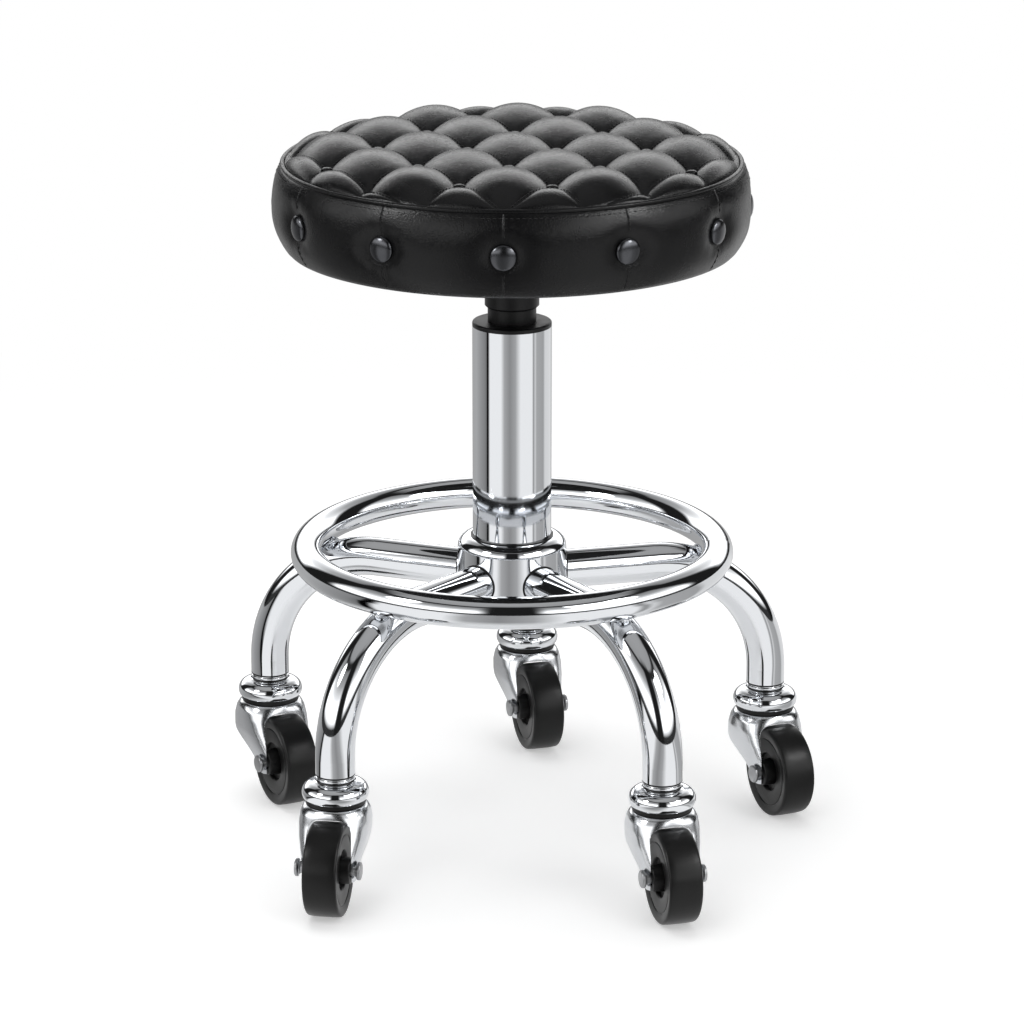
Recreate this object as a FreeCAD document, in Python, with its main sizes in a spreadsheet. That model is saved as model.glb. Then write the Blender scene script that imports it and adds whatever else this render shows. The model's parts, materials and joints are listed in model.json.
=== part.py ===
import FreeCAD, Part
import math
import os
import types
import Sketcher

# A salon stool: a tufted round seat on a gas lift, a chrome column in a hub, five bent tube legs,
# a foot ring on the legs and a swivelling caster under each leg.
# Millimetres and degrees. +Z is up, the origin is on the floor on the column's axis, -Y is the front.

Vector = FreeCAD.Vector

LEG_COUNT = 5
BALL_COUNT = 10
SCREW_COUNT = 4
STUD_COUNT = 12
NUT_SIDES = 6

# The legs in order, anticlockwise from the front left as seen from above.
LEGS = ("front_left", "front_right", "right", "rear", "left")

DRIVING = {
    # Caster wheel and axle
    "wheel_radius": 34.2,
    "wheel_width": 25.0,
    "wheel_shoulder": 6.0,
    "wheel_dish_radius": 20.0,
    "wheel_dish_depth": 3.0,
    "wheel_boss_radius": 9.0,
    "wheel_side_gap": 1.0,
    "axle_radius": 4.0,
    "axle_play": 0.1,
    "axle_head_radius": 6.6,
    "axle_head_height": 3.7,
    "axle_head_chamfer": 0.8,
    # Caster fork
    "fork_gap": 36.0,
    "fork_wall": 2.4,
    "fork_width": 51.4,
    "fork_depth": 49.0,
    "fork_rise": 42.0,
    "fork_web": 3.0,
    "fork_web_corner": 14.0,
    "fork_race_radius": 23.4,
    "fork_race_height": 3.0,
    "fork_shoulder_drop": 14.0,
    "fork_foot_radius": 8.4,
    "caster_trail": 27.1,
    "turn_front_left": -6.6,
    "turn_front_right": 19.0,
    "turn_right": 27.4,
    "turn_rear": 20.4,
    "turn_left": 30.4,
    # Caster swivel
    "stem_radius": 5.5,
    "stem_play": 0.1,
    "stem_head_radius": 8.0,
    "stem_head_height": 3.2,
    "stem_inset": 3.0,
    "swivel_gap": 3.4,
    "swivel_play": 0.3,
    "ball_radius": 1.4,
    "ball_circle": 14.0,
    "seal_radius": 22.0,
    "seal_wall": 3.0,
    "cap_radius": 24.3,
    "cap_rim": 5.4,
    "cap_height": 12.4,
    "neck_height": 6.0,
    "neck_inset": 1.2,
    "plug_inset": 0.8,
    # Legs and foot ring
    "stem_circle": 199.6,
    "leg_radius": 14.4,
    "leg_wall": 2.0,
    "leg_bend": 90.0,
    "leg_tail": 11.8,
    "ring_circle": 152.6,
    "ring_radius": 11.8,
    "ring_wall": 1.6,
    "weld_gap": 0.05,
    "weld_radius": 9.0,
    # Hub and column
    "hub_radius": 41.2,
    "hub_shoulder_radius": 40.4,
    "hub_round": 8.6,
    "hub_below": 20.0,
    "hub_above": 30.0,
    "hub_lip": 6.0,
    "hub_lip_radius": 22.0,
    "column_radius": 29.2,
    "column_wall": 2.0,
    "column_exposed": 160.1,
    "fit": 0.02,
    "cut_over": 8.0,
    "column_seal_wall": 1.6,
    "column_seal_depth": 2.0,
    "column_seal_proud": 0.8,
    "bush_flange": 3.4,
    "bush_round": 1.4,
    "bush_sleeve": 70.0,
    "slide_play": 0.1,
    "foot_plate": 5.0,
    # Gas lift
    "lift_travel": 130.0,
    "lift_gap": 10.7,
    "stop_margin": 5.0,
    "cylinder_radius": 17.85,
    "cylinder_wall": 2.0,
    "cylinder_head": 4.0,
    "cylinder_clearance": 4.0,
    "cone_low_radius": 14.55,
    "cone_top_radius": 13.9,
    "cone_start": 5.0,
    "cone_height": 23.0,
    "gland_height": 10.0,
    "rod_radius": 5.0,
    "rod_play": 0.3,
    "rod_tail": 3.0,
    "bearing_radius": 12.0,
    "bearing_height": 4.7,
    "collar_radius": 9.5,
    "collar_height": 3.0,
    "clip_radius": 8.0,
    "clip_height": 2.5,
    "piston_radius": 15.3,
    "piston_height": 12.0,
    "piston_groove": 4.0,
    "piston_groove_depth": 2.5,
    "piston_ring_gap": 0.15,
    "piston_nut_radius": 9.0,
    "piston_nut_height": 4.0,
    "pin_radius": 3.5,
    "pin_length": 32.0,
    "pin_play": 0.1,
    "pin_chamfer": 1.0,
    # Seat socket, plate and lever
    "socket_radius": 20.0,
    "socket_height": 43.4,
    "socket_chamfer": 1.6,
    "socket_chamber": 12.0,
    "plate_half": 70.0,
    "plate_corner": 20.0,
    "plate_thickness": 3.0,
    "screw_circle": 60.0,
    "screw_radius": 3.0,
    "screw_clearance": 0.2,
    "screw_head_radius": 6.0,
    "screw_head_height": 4.0,
    "tee_barrel_radius": 4.25,
    "tee_flange_radius": 9.0,
    "tee_flange": 1.5,
    "tee_floor": 4.0,
    "lever_pivot_out": 28.0,
    "lever_pivot_drop": 7.4,
    "lever_slope": 5.0,
    "lever_radius": 3.5,
    "lever_inner": 30.0,
    "lever_outer": 140.0,
    "lever_boss_radius": 5.5,
    "lever_tip_gap": 0.7,
    "lever_slot_margin": 1.0,
    "ear_gap": 12.0,
    "ear_wall": 3.0,
    "ear_half": 7.0,
    "ear_drop": 14.0,
    "ear_play": 0.3,
    "pivot_radius": 2.5,
    "pivot_head_radius": 4.0,
    "pivot_head": 1.5,
    "grip_radius": 5.6,
    "grip_length": 54.0,
    "grip_end": 2.0,
    # Upholstered seat
    "seat_radius": 175.0,
    "seat_turn": 1.4,
    "cover_thickness": 1.0,
    "board_inset": 17.1,
    "board_thickness": 12.0,
    "board_play": 0.1,
    "band_height": 60.4,
    "band_low_inset": 9.6,
    "band_top_inset": 6.8,
    "band_bulge_level": 33.0,
    "band_hem": 2.0,
    "stud_level": 30.6,
    "stud_radius": 9.5,
    "stud_dome": 5.0,
    "stud_seat_depth": 5.5,
    "stud_shank_radius": 2.0,
    "stud_shank": 8.0,
    "stud_rim_gap": 0.4,
    "stud_dimple_radius": 24.0,
    "welt_inset": 9.0,
    "welt_radius": 2.4,
    "welt_gap": 0.1,
    "top_round": 15.0,
    "top_wall": 3.0,
    "tuft_width": 64.8,
    "tuft_length": 119.0,
    "tuft_level": 6.5,
    "tuft_crown": 3.0,
    "tuft_height": 9.5,
    "tuft_headroom": 4.0,
    "button_radius": 3.6,
    "button_gap": 0.15,
    "button_sink": 3.0,
    "button_proud": 1.6,
    "button_margin": 15.0,
}


class Size:
    """A length or angle: its number, and the formula over the sheet's cells that gives it."""

    def __init__(self, value, formula):
        self.value = value
        self.formula = formula

    def __add__(self, other):
        other = sized(other)
        return Size(self.value + other.value, f"({self.formula} + {other.formula})")

    def __sub__(self, other):
        other = sized(other)
        return Size(self.value - other.value, f"({self.formula} - {other.formula})")

    def __mul__(self, other):
        other = sized(other)
        return Size(self.value * other.value, f"({self.formula} * {other.formula})")

    def __truediv__(self, other):
        other = sized(other)
        return Size(self.value / other.value, f"({self.formula} / {other.formula})")

    def __radd__(self, other):
        return sized(other) + self

    def __rsub__(self, other):
        return sized(other) - self

    def __rmul__(self, other):
        return sized(other) * self

    def __neg__(self):
        return Size(-self.value, f"(-{self.formula})")


class Arc:
    """A round stretch of an outline, under a half circle: turn is 1 anticlockwise, -1 clockwise."""

    def __init__(self, radius, turn):
        self.radius = sized(radius)
        self.turn = turn


def sized(number):
    if isinstance(number, Size):
        return number
    return Size(float(number), repr(float(number)))


def sine(angle):
    angle = sized(angle)
    return Size(math.sin(math.radians(angle.value)), f"sin({angle.formula} * 1 deg)")


def cosine(angle):
    angle = sized(angle)
    return Size(math.cos(math.radians(angle.value)), f"cos({angle.formula} * 1 deg)")


def root(size):
    return Size(math.sqrt(size.value), f"sqrt({size.formula})")


def larger(first, second):
    first = sized(first)
    second = sized(second)
    return Size(max(first.value, second.value), f"max({first.formula}; {second.formula})")


def driving_sheet(doc):
    sheet = doc.addObject("Spreadsheet::Sheet", "Sizes")
    for row, (name, number) in enumerate(DRIVING.items(), start=1):
        sheet.set(f"A{row}", name.replace("_", " "))
        sheet.set(f"B{row}", str(number))
        sheet.setAlias(f"B{row}", name)
    doc.recompute()
    return sheet


doc = FreeCAD.newDocument("SalonStool")
sheet = driving_sheet(doc)
dim = types.SimpleNamespace(**{name: Size(float(sheet.get(name)), f"Sizes.{name}") for name in DRIVING})
pieces = []

# Heights from the floor up
axle_level = dim.wheel_radius
fork_top = axle_level + dim.fork_rise
web_top = fork_top - dim.fork_race_height
web_bottom = web_top - dim.fork_web
cap_bottom = fork_top + dim.swivel_gap
cap_top = cap_bottom + dim.cap_height
leg_end = cap_top + dim.neck_height
leg_tail_top = leg_end + dim.leg_tail
leg_level = leg_tail_top + dim.leg_bend
hub_bottom = leg_level - dim.hub_below
hub_top = leg_level + dim.hub_above
column_bottom = hub_bottom + dim.hub_lip
column_top = hub_top + dim.column_exposed
flange_top = column_top + dim.bush_flange
socket_bottom = flange_top + dim.lift_gap
plate_bottom = socket_bottom + dim.socket_height
plate_top = plate_bottom + dim.plate_thickness
board_bottom = plate_top + dim.cover_thickness
board_top = board_bottom + dim.board_thickness
band_top = plate_top + dim.band_height
tuft_base = band_top + dim.tuft_level

# The ring's tube rests on the bend of each leg, where the bend's own axis is bend_out from the column.
bend_out = dim.stem_circle - dim.leg_bend
bend_reach = larger(dim.ring_circle - bend_out, 0)
bend_span = dim.leg_bend + dim.leg_radius + dim.ring_radius + dim.weld_gap
bend_height = root(bend_span * bend_span - bend_reach * bend_reach)
ring_level = leg_level - dim.leg_bend + bend_height

# Radii of the seat, inwards from its fullest line
board_radius = dim.seat_radius - dim.board_inset
band_low_radius = dim.seat_radius - dim.band_low_inset
band_top_radius = dim.seat_radius - dim.band_top_inset
stud_seat_radius = dim.seat_radius - dim.stud_seat_depth
welt_circle = dim.seat_radius - dim.welt_inset

# Heights and radii inside the gas lift
foot_top = column_bottom + dim.foot_plate
bearing_top = foot_top + dim.bearing_height
collar_bottom = bearing_top + dim.swivel_play
collar_top = collar_bottom + dim.collar_height
cylinder_bottom = collar_top + dim.cylinder_clearance
cylinder_bore = dim.cylinder_radius - dim.cylinder_wall
piston_bottom = cylinder_bottom + dim.gland_height + dim.lift_travel + dim.stop_margin
piston_top = piston_bottom + dim.piston_height
rod_top = piston_top + dim.piston_nut_height
cone_bottom = socket_bottom + dim.cone_start
cone_top = cone_bottom + dim.cone_height
rod_bottom = column_bottom - dim.swivel_play - dim.clip_height - dim.rod_tail

# Lever pivot, and the underside of the lever's tip where it meets the valve pin
pivot_level = plate_bottom - dim.lever_pivot_drop
tip_drop = dim.lever_pivot_out * sine(dim.lever_slope) / cosine(dim.lever_slope)
pin_top = pivot_level + tip_drop - dim.lever_radius / cosine(dim.lever_slope) - dim.lever_tip_gap

leg_pitch = 360 / LEG_COUNT


def leg_angle(index):
    """Heading of a leg from the front, anticlockwise, with one leg at the rear."""
    return (index - 0.5) * leg_pitch


def new_body(label, turn=0):
    body = doc.addObject("PartDesign::Body", label)
    body.Label = label
    body.AllowCompound = True
    turn = sized(turn)
    body.Placement = FreeCAD.Placement(Vector(), FreeCAD.Rotation(Vector(0, 0, 1), turn.value))
    body.setExpression("Placement.Rotation.Angle", turn.formula)
    pieces.append(body)
    return body


def move(body, x=0, y=0, z=0):
    for axis, place in zip("xyz", (x, y, z)):
        body.setExpression(f"Placement.Base.{axis}", sized(place).formula)


def origin_feature(body, role):
    return next(feature for feature in body.Origin.OriginFeatures if feature.Role == role)


def sketch_on(body, role, lift=0):
    """A sketch on one of the body's own planes, lifted along that plane's normal."""
    sketch = body.newObject("Sketcher::SketchObject", f"{body.Name}_sketch")
    sketch.AttachmentSupport = [(origin_feature(body, role), "")]
    sketch.MapMode = "FlatFace"
    sketch.setExpression("AttachmentOffset.Base.z", sized(lift).formula)
    return sketch


def bind(sketch, constraint, formula):
    index = sketch.addConstraint(constraint)
    sketch.setExpression(f"Constraints[{index}]", formula)


def fix_point(sketch, geometry, end, x, y):
    """Holds one end of a line or arc at x, y from the sketch's origin."""
    for kind, size in (("DistanceX", sized(x)), ("DistanceY", sized(y))):
        bind(sketch, Sketcher.Constraint(kind, -1, 1, geometry, end, size.value), size.formula)


def arc_edge(start, end, arc):
    """A circular edge from start to end, and which of its ends is at start."""
    chord = end - start
    middle = (start + end) * 0.5
    radius = arc.radius.value
    reach = math.sqrt(max(radius ** 2 - (chord.Length / 2) ** 2, 0))
    left = Vector(-chord.y, chord.x, 0).normalize()
    centre = middle + left * reach * arc.turn
    first, last = (start, end) if arc.turn > 0 else (end, start)
    angles = [math.atan2(point.y - centre.y, point.x - centre.x) for point in (first, last)]
    circle = Part.Circle(centre, Vector(0, 0, 1), radius)
    if angles[1] < angles[0]:
        angles[1] += 2 * math.pi
    return Part.ArcOfCircle(circle, *angles), (1, 2) if arc.turn > 0 else (2, 1)


def draw(sketch, outline, closed=True):
    """Draws corners joined by lines, or by the Arc that stands between two corners."""
    corners = [item for item in outline if not isinstance(item, Arc)]
    arcs = {}
    for place, item in enumerate(outline):
        if isinstance(item, Arc):
            arcs[sum(not isinstance(before, Arc) for before in outline[:place]) - 1] = item
    points = [Vector(sized(x).value, sized(y).value, 0) for x, y in corners]
    edges = []
    for index in range(len(corners) if closed else len(corners) - 1):
        start = points[index]
        end = points[(index + 1) % len(points)]
        if index in arcs:
            edge, ends = arc_edge(start, end, arcs[index])
        else:
            edge, ends = Part.LineSegment(start, end), (1, 2)
        geometry = sketch.addGeometry(edge, False)
        edges.append((geometry, ends))
        fix_point(sketch, geometry, ends[0], *corners[index])
        if index in arcs:
            radius = arcs[index].radius
            bind(sketch, Sketcher.Constraint("Radius", geometry, radius.value), radius.formula)
    for (geometry, ends), (following, next_ends) in zip(edges, edges[1:]):
        sketch.addConstraint(Sketcher.Constraint("Coincident", geometry, ends[1], following, next_ends[0]))
    last, last_ends = edges[-1]
    if closed:
        first, first_ends = edges[0]
        sketch.addConstraint(Sketcher.Constraint("Coincident", last, last_ends[1], first, first_ends[0]))
    else:
        fix_point(sketch, last, last_ends[1], *corners[-1])


def draw_circle(sketch, x, y, radius):
    x, y, radius = sized(x), sized(y), sized(radius)
    circle = Part.Circle(Vector(x.value, y.value, 0), Vector(0, 0, 1), radius.value)
    geometry = sketch.addGeometry(circle, False)
    fix_point(sketch, geometry, 3, x, y)
    bind(sketch, Sketcher.Constraint("Radius", geometry, radius.value), radius.formula)


def draw_axis(sketch, start, end):
    """A construction line that a profile turns about."""
    points = [Vector(sized(x).value, sized(y).value, 0) for x, y in (start, end)]
    geometry = sketch.addGeometry(Part.LineSegment(*points), True)
    fix_point(sketch, geometry, 1, *start)
    fix_point(sketch, geometry, 2, *end)


def feature(body, kind, sketch, **settings):
    made = body.newObject(f"PartDesign::{kind}", f"{body.Name}_{kind.lower()}")
    made.Profile = sketch
    for name, value in settings.items():
        if isinstance(value, Size):
            setattr(made, name, value.value)
            made.setExpression(name, value.formula)
        else:
            setattr(made, name, value)
    return made


def turn_profile(body, sketch, axis="V_Axis", kind="Revolution"):
    return feature(body, kind, sketch, ReferenceAxis=(sketch, [axis]), Angle=360)


def pad(body, sketch, length, **settings):
    return feature(body, "Pad", sketch, Length=sized(length), **settings)


def polar(body, original, count):
    made = body.newObject("PartDesign::PolarPattern", f"{body.Name}_pattern")
    made.Originals = [original]
    made.Axis = (origin_feature(body, "Z_Axis"), [""])
    made.Angle = 360
    made.Occurrences = count
    body.Tip = made
    return made


def mirror(body, original):
    made = body.newObject("PartDesign::Mirrored", f"{body.Name}_mirror")
    made.Originals = [original]
    made.MirrorPlane = (origin_feature(body, "YZ_Plane"), [""])
    body.Tip = made
    return made


def turned(label, outline, turn=0):
    """A round piece about the column's axis, from its outline of radius and height."""
    body = new_body(label, turn)
    sketch = sketch_on(body, "XZ_Plane")
    draw(sketch, outline)
    turn_profile(body, sketch)
    return body


def ring_outline(inner, outer, low, high):
    return [(inner, low), (outer, low), (outer, high), (inner, high)]


def turned_group(label, outline, circle, count, turn):
    """Equal round pieces about upright axes spaced round a circle, drawn at their own radius."""
    body = new_body(label, turn)
    sketch = sketch_on(body, "XZ_Plane")
    draw(sketch, [item if isinstance(item, Arc) else (circle + item[0], item[1]) for item in outline])
    draw_axis(sketch, (circle, 0), (circle, outline[0][1] + 1))
    polar(body, turn_profile(body, sketch, "Axis0"), count)
    return body


# Group pieces are drawn on +X, a quarter turn ahead of the front.
first_leg_turn = leg_angle(1) - 90


def hub():
    body = new_body("hub", leg_angle(1))
    seal_bore = dim.column_radius + dim.column_seal_wall
    column_bore = dim.column_radius + dim.fit
    sketch = sketch_on(body, "XZ_Plane")
    draw(sketch, [
        (dim.hub_lip_radius, hub_bottom),
        (dim.hub_radius, hub_bottom),
        (dim.hub_radius, leg_level),
        (dim.hub_shoulder_radius, hub_top - dim.hub_round),
        Arc(dim.hub_round, 1),
        (dim.hub_shoulder_radius - dim.hub_round, hub_top),
        (seal_bore, hub_top),
        (seal_bore, hub_top - dim.column_seal_depth),
        (column_bore, hub_top - dim.column_seal_depth),
        (column_bore, column_bottom),
        (dim.hub_lip_radius, column_bottom),
    ])
    turn_profile(body, sketch)
    hole = sketch_on(body, "XZ_Plane")
    draw_circle(hole, 0, leg_level, dim.leg_radius + dim.fit)
    cut = feature(body, "Pocket", hole, Length=dim.hub_radius + dim.cut_over, Reversed=True)
    polar(body, cut, LEG_COUNT)


def leg(name, index):
    body = new_body(f"leg_{name}", leg_angle(index))
    inner = dim.column_radius + dim.leg_wall
    spine = sketch_on(body, "YZ_Plane")
    draw(spine, [
        (-inner, leg_level),
        (-bend_out, leg_level),
        Arc(dim.leg_bend, 1),
        (-dim.stem_circle, leg_tail_top),
        (-dim.stem_circle, leg_end),
    ], closed=False)
    section = sketch_on(body, "XZ_Plane", inner)
    draw_circle(section, 0, leg_level, dim.leg_radius)
    draw_circle(section, 0, leg_level, dim.leg_radius - dim.leg_wall)
    feature(body, "AdditivePipe", section, Spine=spine)


def foot_ring():
    body = new_body("foot_ring")
    sketch = sketch_on(body, "XZ_Plane")
    draw_circle(sketch, dim.ring_circle, ring_level, dim.ring_radius)
    draw_circle(sketch, dim.ring_circle, ring_level, dim.ring_radius - dim.ring_wall)
    turn_profile(body, sketch)


def add_shape(label, shape):
    piece = doc.addObject("Part::Feature", label)
    piece.Label = label
    piece.Shape = shape
    pieces.append(piece)
    return piece


def ring_welds():
    """A weld fillet at each leg: a bead cut away by the ring above it and the leg below it."""
    ring = Part.makeTorus(dim.ring_circle.value, dim.ring_radius.value, Vector(0, 0, ring_level.value))
    bend_centre = Vector(0, -bend_out.value, leg_level.value - dim.leg_bend.value)
    bend = Part.makeTorus(dim.leg_bend.value, dim.leg_radius.value, bend_centre, Vector(1, 0, 0))
    run = Part.makeCylinder(dim.leg_radius.value, bend_out.value, Vector(0, 0, leg_level.value),
                            Vector(0, -1, 0))
    lean = (dim.leg_bend.value + dim.leg_radius.value) / bend_span.value
    touch = bend_centre + Vector(0, -bend_reach.value, bend_height.value) * lean
    bead = Part.makeSphere(dim.weld_radius.value, touch).cut(ring).cut(bend).cut(run)
    welds = []
    for index in range(LEG_COUNT):
        weld = bead.copy()
        weld.rotate(Vector(), Vector(0, 0, 1), leg_angle(index))
        welds.extend(weld.Solids)
    add_shape("ring_welds", Part.makeCompound(welds))


def column():
    bore = dim.column_radius - dim.column_wall
    turned("column_tube", ring_outline(bore, dim.column_radius, column_bottom, column_top))
    turned("column_seal", ring_outline(
        dim.column_radius + dim.fit,
        dim.column_radius + dim.column_seal_wall - dim.fit,
        hub_top - dim.column_seal_depth,
        hub_top + dim.column_seal_proud,
    ))
    guide = dim.cylinder_radius + dim.slide_play
    turned("guide_bush", [
        (guide, column_top - dim.bush_sleeve),
        (bore - dim.fit, column_top - dim.bush_sleeve),
        (bore - dim.fit, column_top),
        (dim.column_radius, column_top),
        (dim.column_radius, flange_top - dim.bush_round),
        Arc(dim.bush_round, 1),
        (dim.column_radius - dim.bush_round, flange_top),
        (guide, flange_top),
    ])
    rod_hole = dim.rod_radius + dim.rod_play
    turned("column_foot", ring_outline(rod_hole, bore - dim.fit, column_bottom, foot_top))
    turned("thrust_bearing", ring_outline(rod_hole, dim.bearing_radius, foot_top, bearing_top))


def lift_rod():
    on_rod = dim.rod_radius + dim.fit
    turned("piston_rod", ring_outline(0, dim.rod_radius, rod_bottom, rod_top))
    turned("rod_collar", ring_outline(on_rod, dim.collar_radius, collar_bottom, collar_top))
    clip_top = column_bottom - dim.swivel_play
    turned("rod_clip", ring_outline(on_rod, dim.clip_radius, clip_top - dim.clip_height, clip_top))
    groove_low = piston_bottom + (dim.piston_height - dim.piston_groove) / 2
    groove_high = groove_low + dim.piston_groove
    groove_radius = dim.piston_radius - dim.piston_groove_depth
    turned("piston", [
        (on_rod, piston_bottom),
        (dim.piston_radius, piston_bottom),
        (dim.piston_radius, groove_low),
        (groove_radius, groove_low),
        (groove_radius, groove_high),
        (dim.piston_radius, groove_high),
        (dim.piston_radius, piston_top),
        (on_rod, piston_top),
    ])
    turned("piston_ring", ring_outline(
        groove_radius + dim.fit, cylinder_bore - dim.piston_ring_gap, groove_low, groove_high))
    nut = new_body("piston_nut")
    sketch = sketch_on(nut, "XY_Plane", piston_top)
    corners = [360 / NUT_SIDES * side for side in range(NUT_SIDES)]
    draw(sketch, [(dim.piston_nut_radius * math.cos(math.radians(corner)),
                   dim.piston_nut_radius * math.sin(math.radians(corner))) for corner in corners])
    draw_circle(sketch, 0, 0, on_rod)
    pad(nut, sketch, dim.piston_nut_height)


def gas_cylinder():
    pin_bore = dim.pin_radius + dim.pin_play
    turned("gas_cylinder", [
        (cylinder_bore, cylinder_bottom),
        (dim.cylinder_radius, cylinder_bottom),
        (dim.cylinder_radius, cone_bottom),
        (dim.cone_low_radius, cone_bottom),
        (dim.cone_top_radius, cone_top),
        (pin_bore, cone_top),
        (pin_bore, cone_bottom - dim.cylinder_head),
        (cylinder_bore, cone_bottom - dim.cylinder_head),
    ])
    turned("cylinder_gland", ring_outline(
        dim.rod_radius + dim.slide_play,
        cylinder_bore - dim.fit,
        cylinder_bottom,
        cylinder_bottom + dim.gland_height,
    ))
    turned("valve_pin", [
        (0, pin_top - dim.pin_length),
        (dim.pin_radius, pin_top - dim.pin_length),
        (dim.pin_radius, pin_top - dim.pin_chamfer),
        (dim.pin_radius - dim.pin_chamfer, pin_top),
        (0, pin_top),
    ])


def seat_socket():
    body = turned("seat_socket", [
        (dim.cylinder_radius + dim.fit, socket_bottom),
        (dim.socket_radius - dim.socket_chamfer, socket_bottom),
        (dim.socket_radius, socket_bottom + dim.socket_chamfer),
        (dim.socket_radius, plate_bottom),
        (dim.socket_chamber, plate_bottom),
        (dim.socket_chamber, cone_top),
        (dim.cone_top_radius + dim.fit, cone_top),
        (dim.cone_low_radius + dim.fit, cone_bottom),
        (dim.cylinder_radius + dim.fit, cone_bottom),
    ])
    slot = sketch_on(body, "XZ_Plane")
    half = dim.lever_radius + dim.lever_slot_margin
    slot_bottom = cone_top + dim.lever_slot_margin
    draw(slot, [(-half, slot_bottom), (half, slot_bottom), (half, plate_bottom), (-half, plate_bottom)])
    feature(body, "Pocket", slot, Length=dim.socket_radius + dim.cut_over)


def screw_places():
    reach = dim.screw_circle * math.sqrt(0.5)
    return [(reach * across, reach * along) for across in (-1, 1) for along in (-1, 1)]


def draw_screw_holes(sketch, radius):
    for x, y in screw_places():
        draw_circle(sketch, x, y, radius)


def draw_rounded(sketch, half_x, half_y, corner):
    """A rectangle about the origin with round corners."""
    draw(sketch, [
        (corner - half_x, -half_y), (half_x - corner, -half_y), Arc(corner, 1),
        (half_x, corner - half_y), (half_x, half_y - corner), Arc(corner, 1),
        (half_x - corner, half_y), (corner - half_x, half_y), Arc(corner, 1),
        (-half_x, half_y - corner), (-half_x, corner - half_y), Arc(corner, 1),
    ])


def seat_plate():
    body = new_body("seat_plate")
    sketch = sketch_on(body, "XY_Plane", plate_bottom)
    draw_rounded(sketch, dim.plate_half, dim.plate_half, dim.plate_corner)
    draw_screw_holes(sketch, dim.screw_radius + dim.screw_clearance)
    pad(body, sketch, dim.plate_thickness)
    ear = sketch_on(body, "YZ_Plane", dim.ear_gap / 2)
    low = plate_bottom - dim.ear_drop
    near = dim.lever_pivot_out - dim.ear_half
    far = dim.lever_pivot_out + dim.ear_half
    draw(ear, [(near, low), (far, low), (far, plate_bottom), (near, plate_bottom)])
    draw_circle(ear, dim.lever_pivot_out, pivot_level, dim.pivot_radius + dim.fit)
    mirror(body, pad(body, ear, dim.ear_wall))


def seat_fasteners():
    shank_top = board_top - dim.tee_flange
    head_bottom = plate_bottom - dim.screw_head_height
    turned_group("plate_screws", [
        (0, head_bottom),
        (dim.screw_head_radius, head_bottom),
        (dim.screw_head_radius, plate_bottom),
        (dim.screw_radius, plate_bottom),
        (dim.screw_radius, shank_top),
        (0, shank_top),
    ], dim.screw_circle, SCREW_COUNT, 180 / SCREW_COUNT)
    bore = dim.screw_radius + dim.fit
    turned_group("tee_nuts", [
        (bore, board_bottom + dim.tee_floor),
        (dim.tee_barrel_radius, board_bottom + dim.tee_floor),
        (dim.tee_barrel_radius, shank_top),
        (dim.tee_flange_radius, shank_top),
        (dim.tee_flange_radius, board_top),
        (bore, board_top),
    ], dim.screw_circle, SCREW_COUNT, 180 / SCREW_COUNT)


def seat_board():
    cover = new_body("dust_cover")
    sketch = sketch_on(cover, "XY_Plane", plate_top)
    draw_circle(sketch, 0, 0, board_radius)
    draw_screw_holes(sketch, dim.screw_radius + dim.screw_clearance)
    pad(cover, sketch, dim.cover_thickness)
    board = new_body("seat_board")
    low = board_bottom
    layers = (
        (dim.tee_floor, dim.screw_radius + dim.screw_clearance),
        (dim.board_thickness - dim.tee_floor - dim.tee_flange, dim.tee_barrel_radius + dim.fit),
        (dim.tee_flange, dim.tee_flange_radius + dim.screw_clearance),
    )
    for thickness, hole in layers:
        sketch = sketch_on(board, "XY_Plane", low)
        draw_circle(sketch, 0, 0, board_radius)
        draw_screw_holes(sketch, hole)
        pad(board, sketch, thickness)
        low = low + thickness


def foam_core():
    turned("foam_core", ring_outline(0, board_radius, board_top, band_top))


def side_band():
    """The padded band round the seat, swollen at mid height and drawn in at each stud."""
    body = new_body("side_band", dim.seat_turn)
    inner = board_radius + dim.board_play
    hem = plate_top + dim.band_hem
    bulge = plate_top + dim.band_bulge_level
    lower_half = bulge - hem
    lower_swell = dim.band_low_inset
    lower_arc = (lower_half * lower_half + lower_swell * lower_swell) / (2 * lower_swell)
    upper_half = band_top - bulge
    upper_swell = dim.band_top_inset
    upper_arc = (upper_half * upper_half + upper_swell * upper_swell) / (2 * upper_swell)
    sketch = sketch_on(body, "XZ_Plane")
    draw(sketch, [
        (inner, plate_top),
        (band_low_radius - dim.band_hem, plate_top),
        (band_low_radius, hem),
        Arc(lower_arc, 1),
        (dim.seat_radius, bulge),
        Arc(upper_arc, 1),
        (band_top_radius, band_top),
        (inner, band_top),
    ])
    turn_profile(body, sketch)
    level = plate_top + dim.stud_level
    floor = stud_seat_radius
    shank_end = floor - dim.stud_shank
    shank = dim.stud_shank_radius + dim.fit
    dimple = sketch_on(body, "XZ_Plane")
    draw(dimple, [
        (shank_end, level),
        (shank_end, level + shank),
        (floor, level + shank),
        (floor, level + dim.stud_radius + dim.stud_rim_gap),
        (dim.seat_radius, level + dim.stud_dimple_radius),
        (dim.seat_radius + dim.cut_over, level + dim.stud_dimple_radius),
        (dim.seat_radius + dim.cut_over, level),
    ])
    polar(body, turn_profile(body, dimple_axis(dimple, level), "Axis0", "Groove"), STUD_COUNT)


def dimple_axis(sketch, level):
    """Adds the level line from the column's axis outwards that a stud and its dimple turn about."""
    draw_axis(sketch, (0, level), (dim.seat_radius, level))
    return sketch


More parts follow.
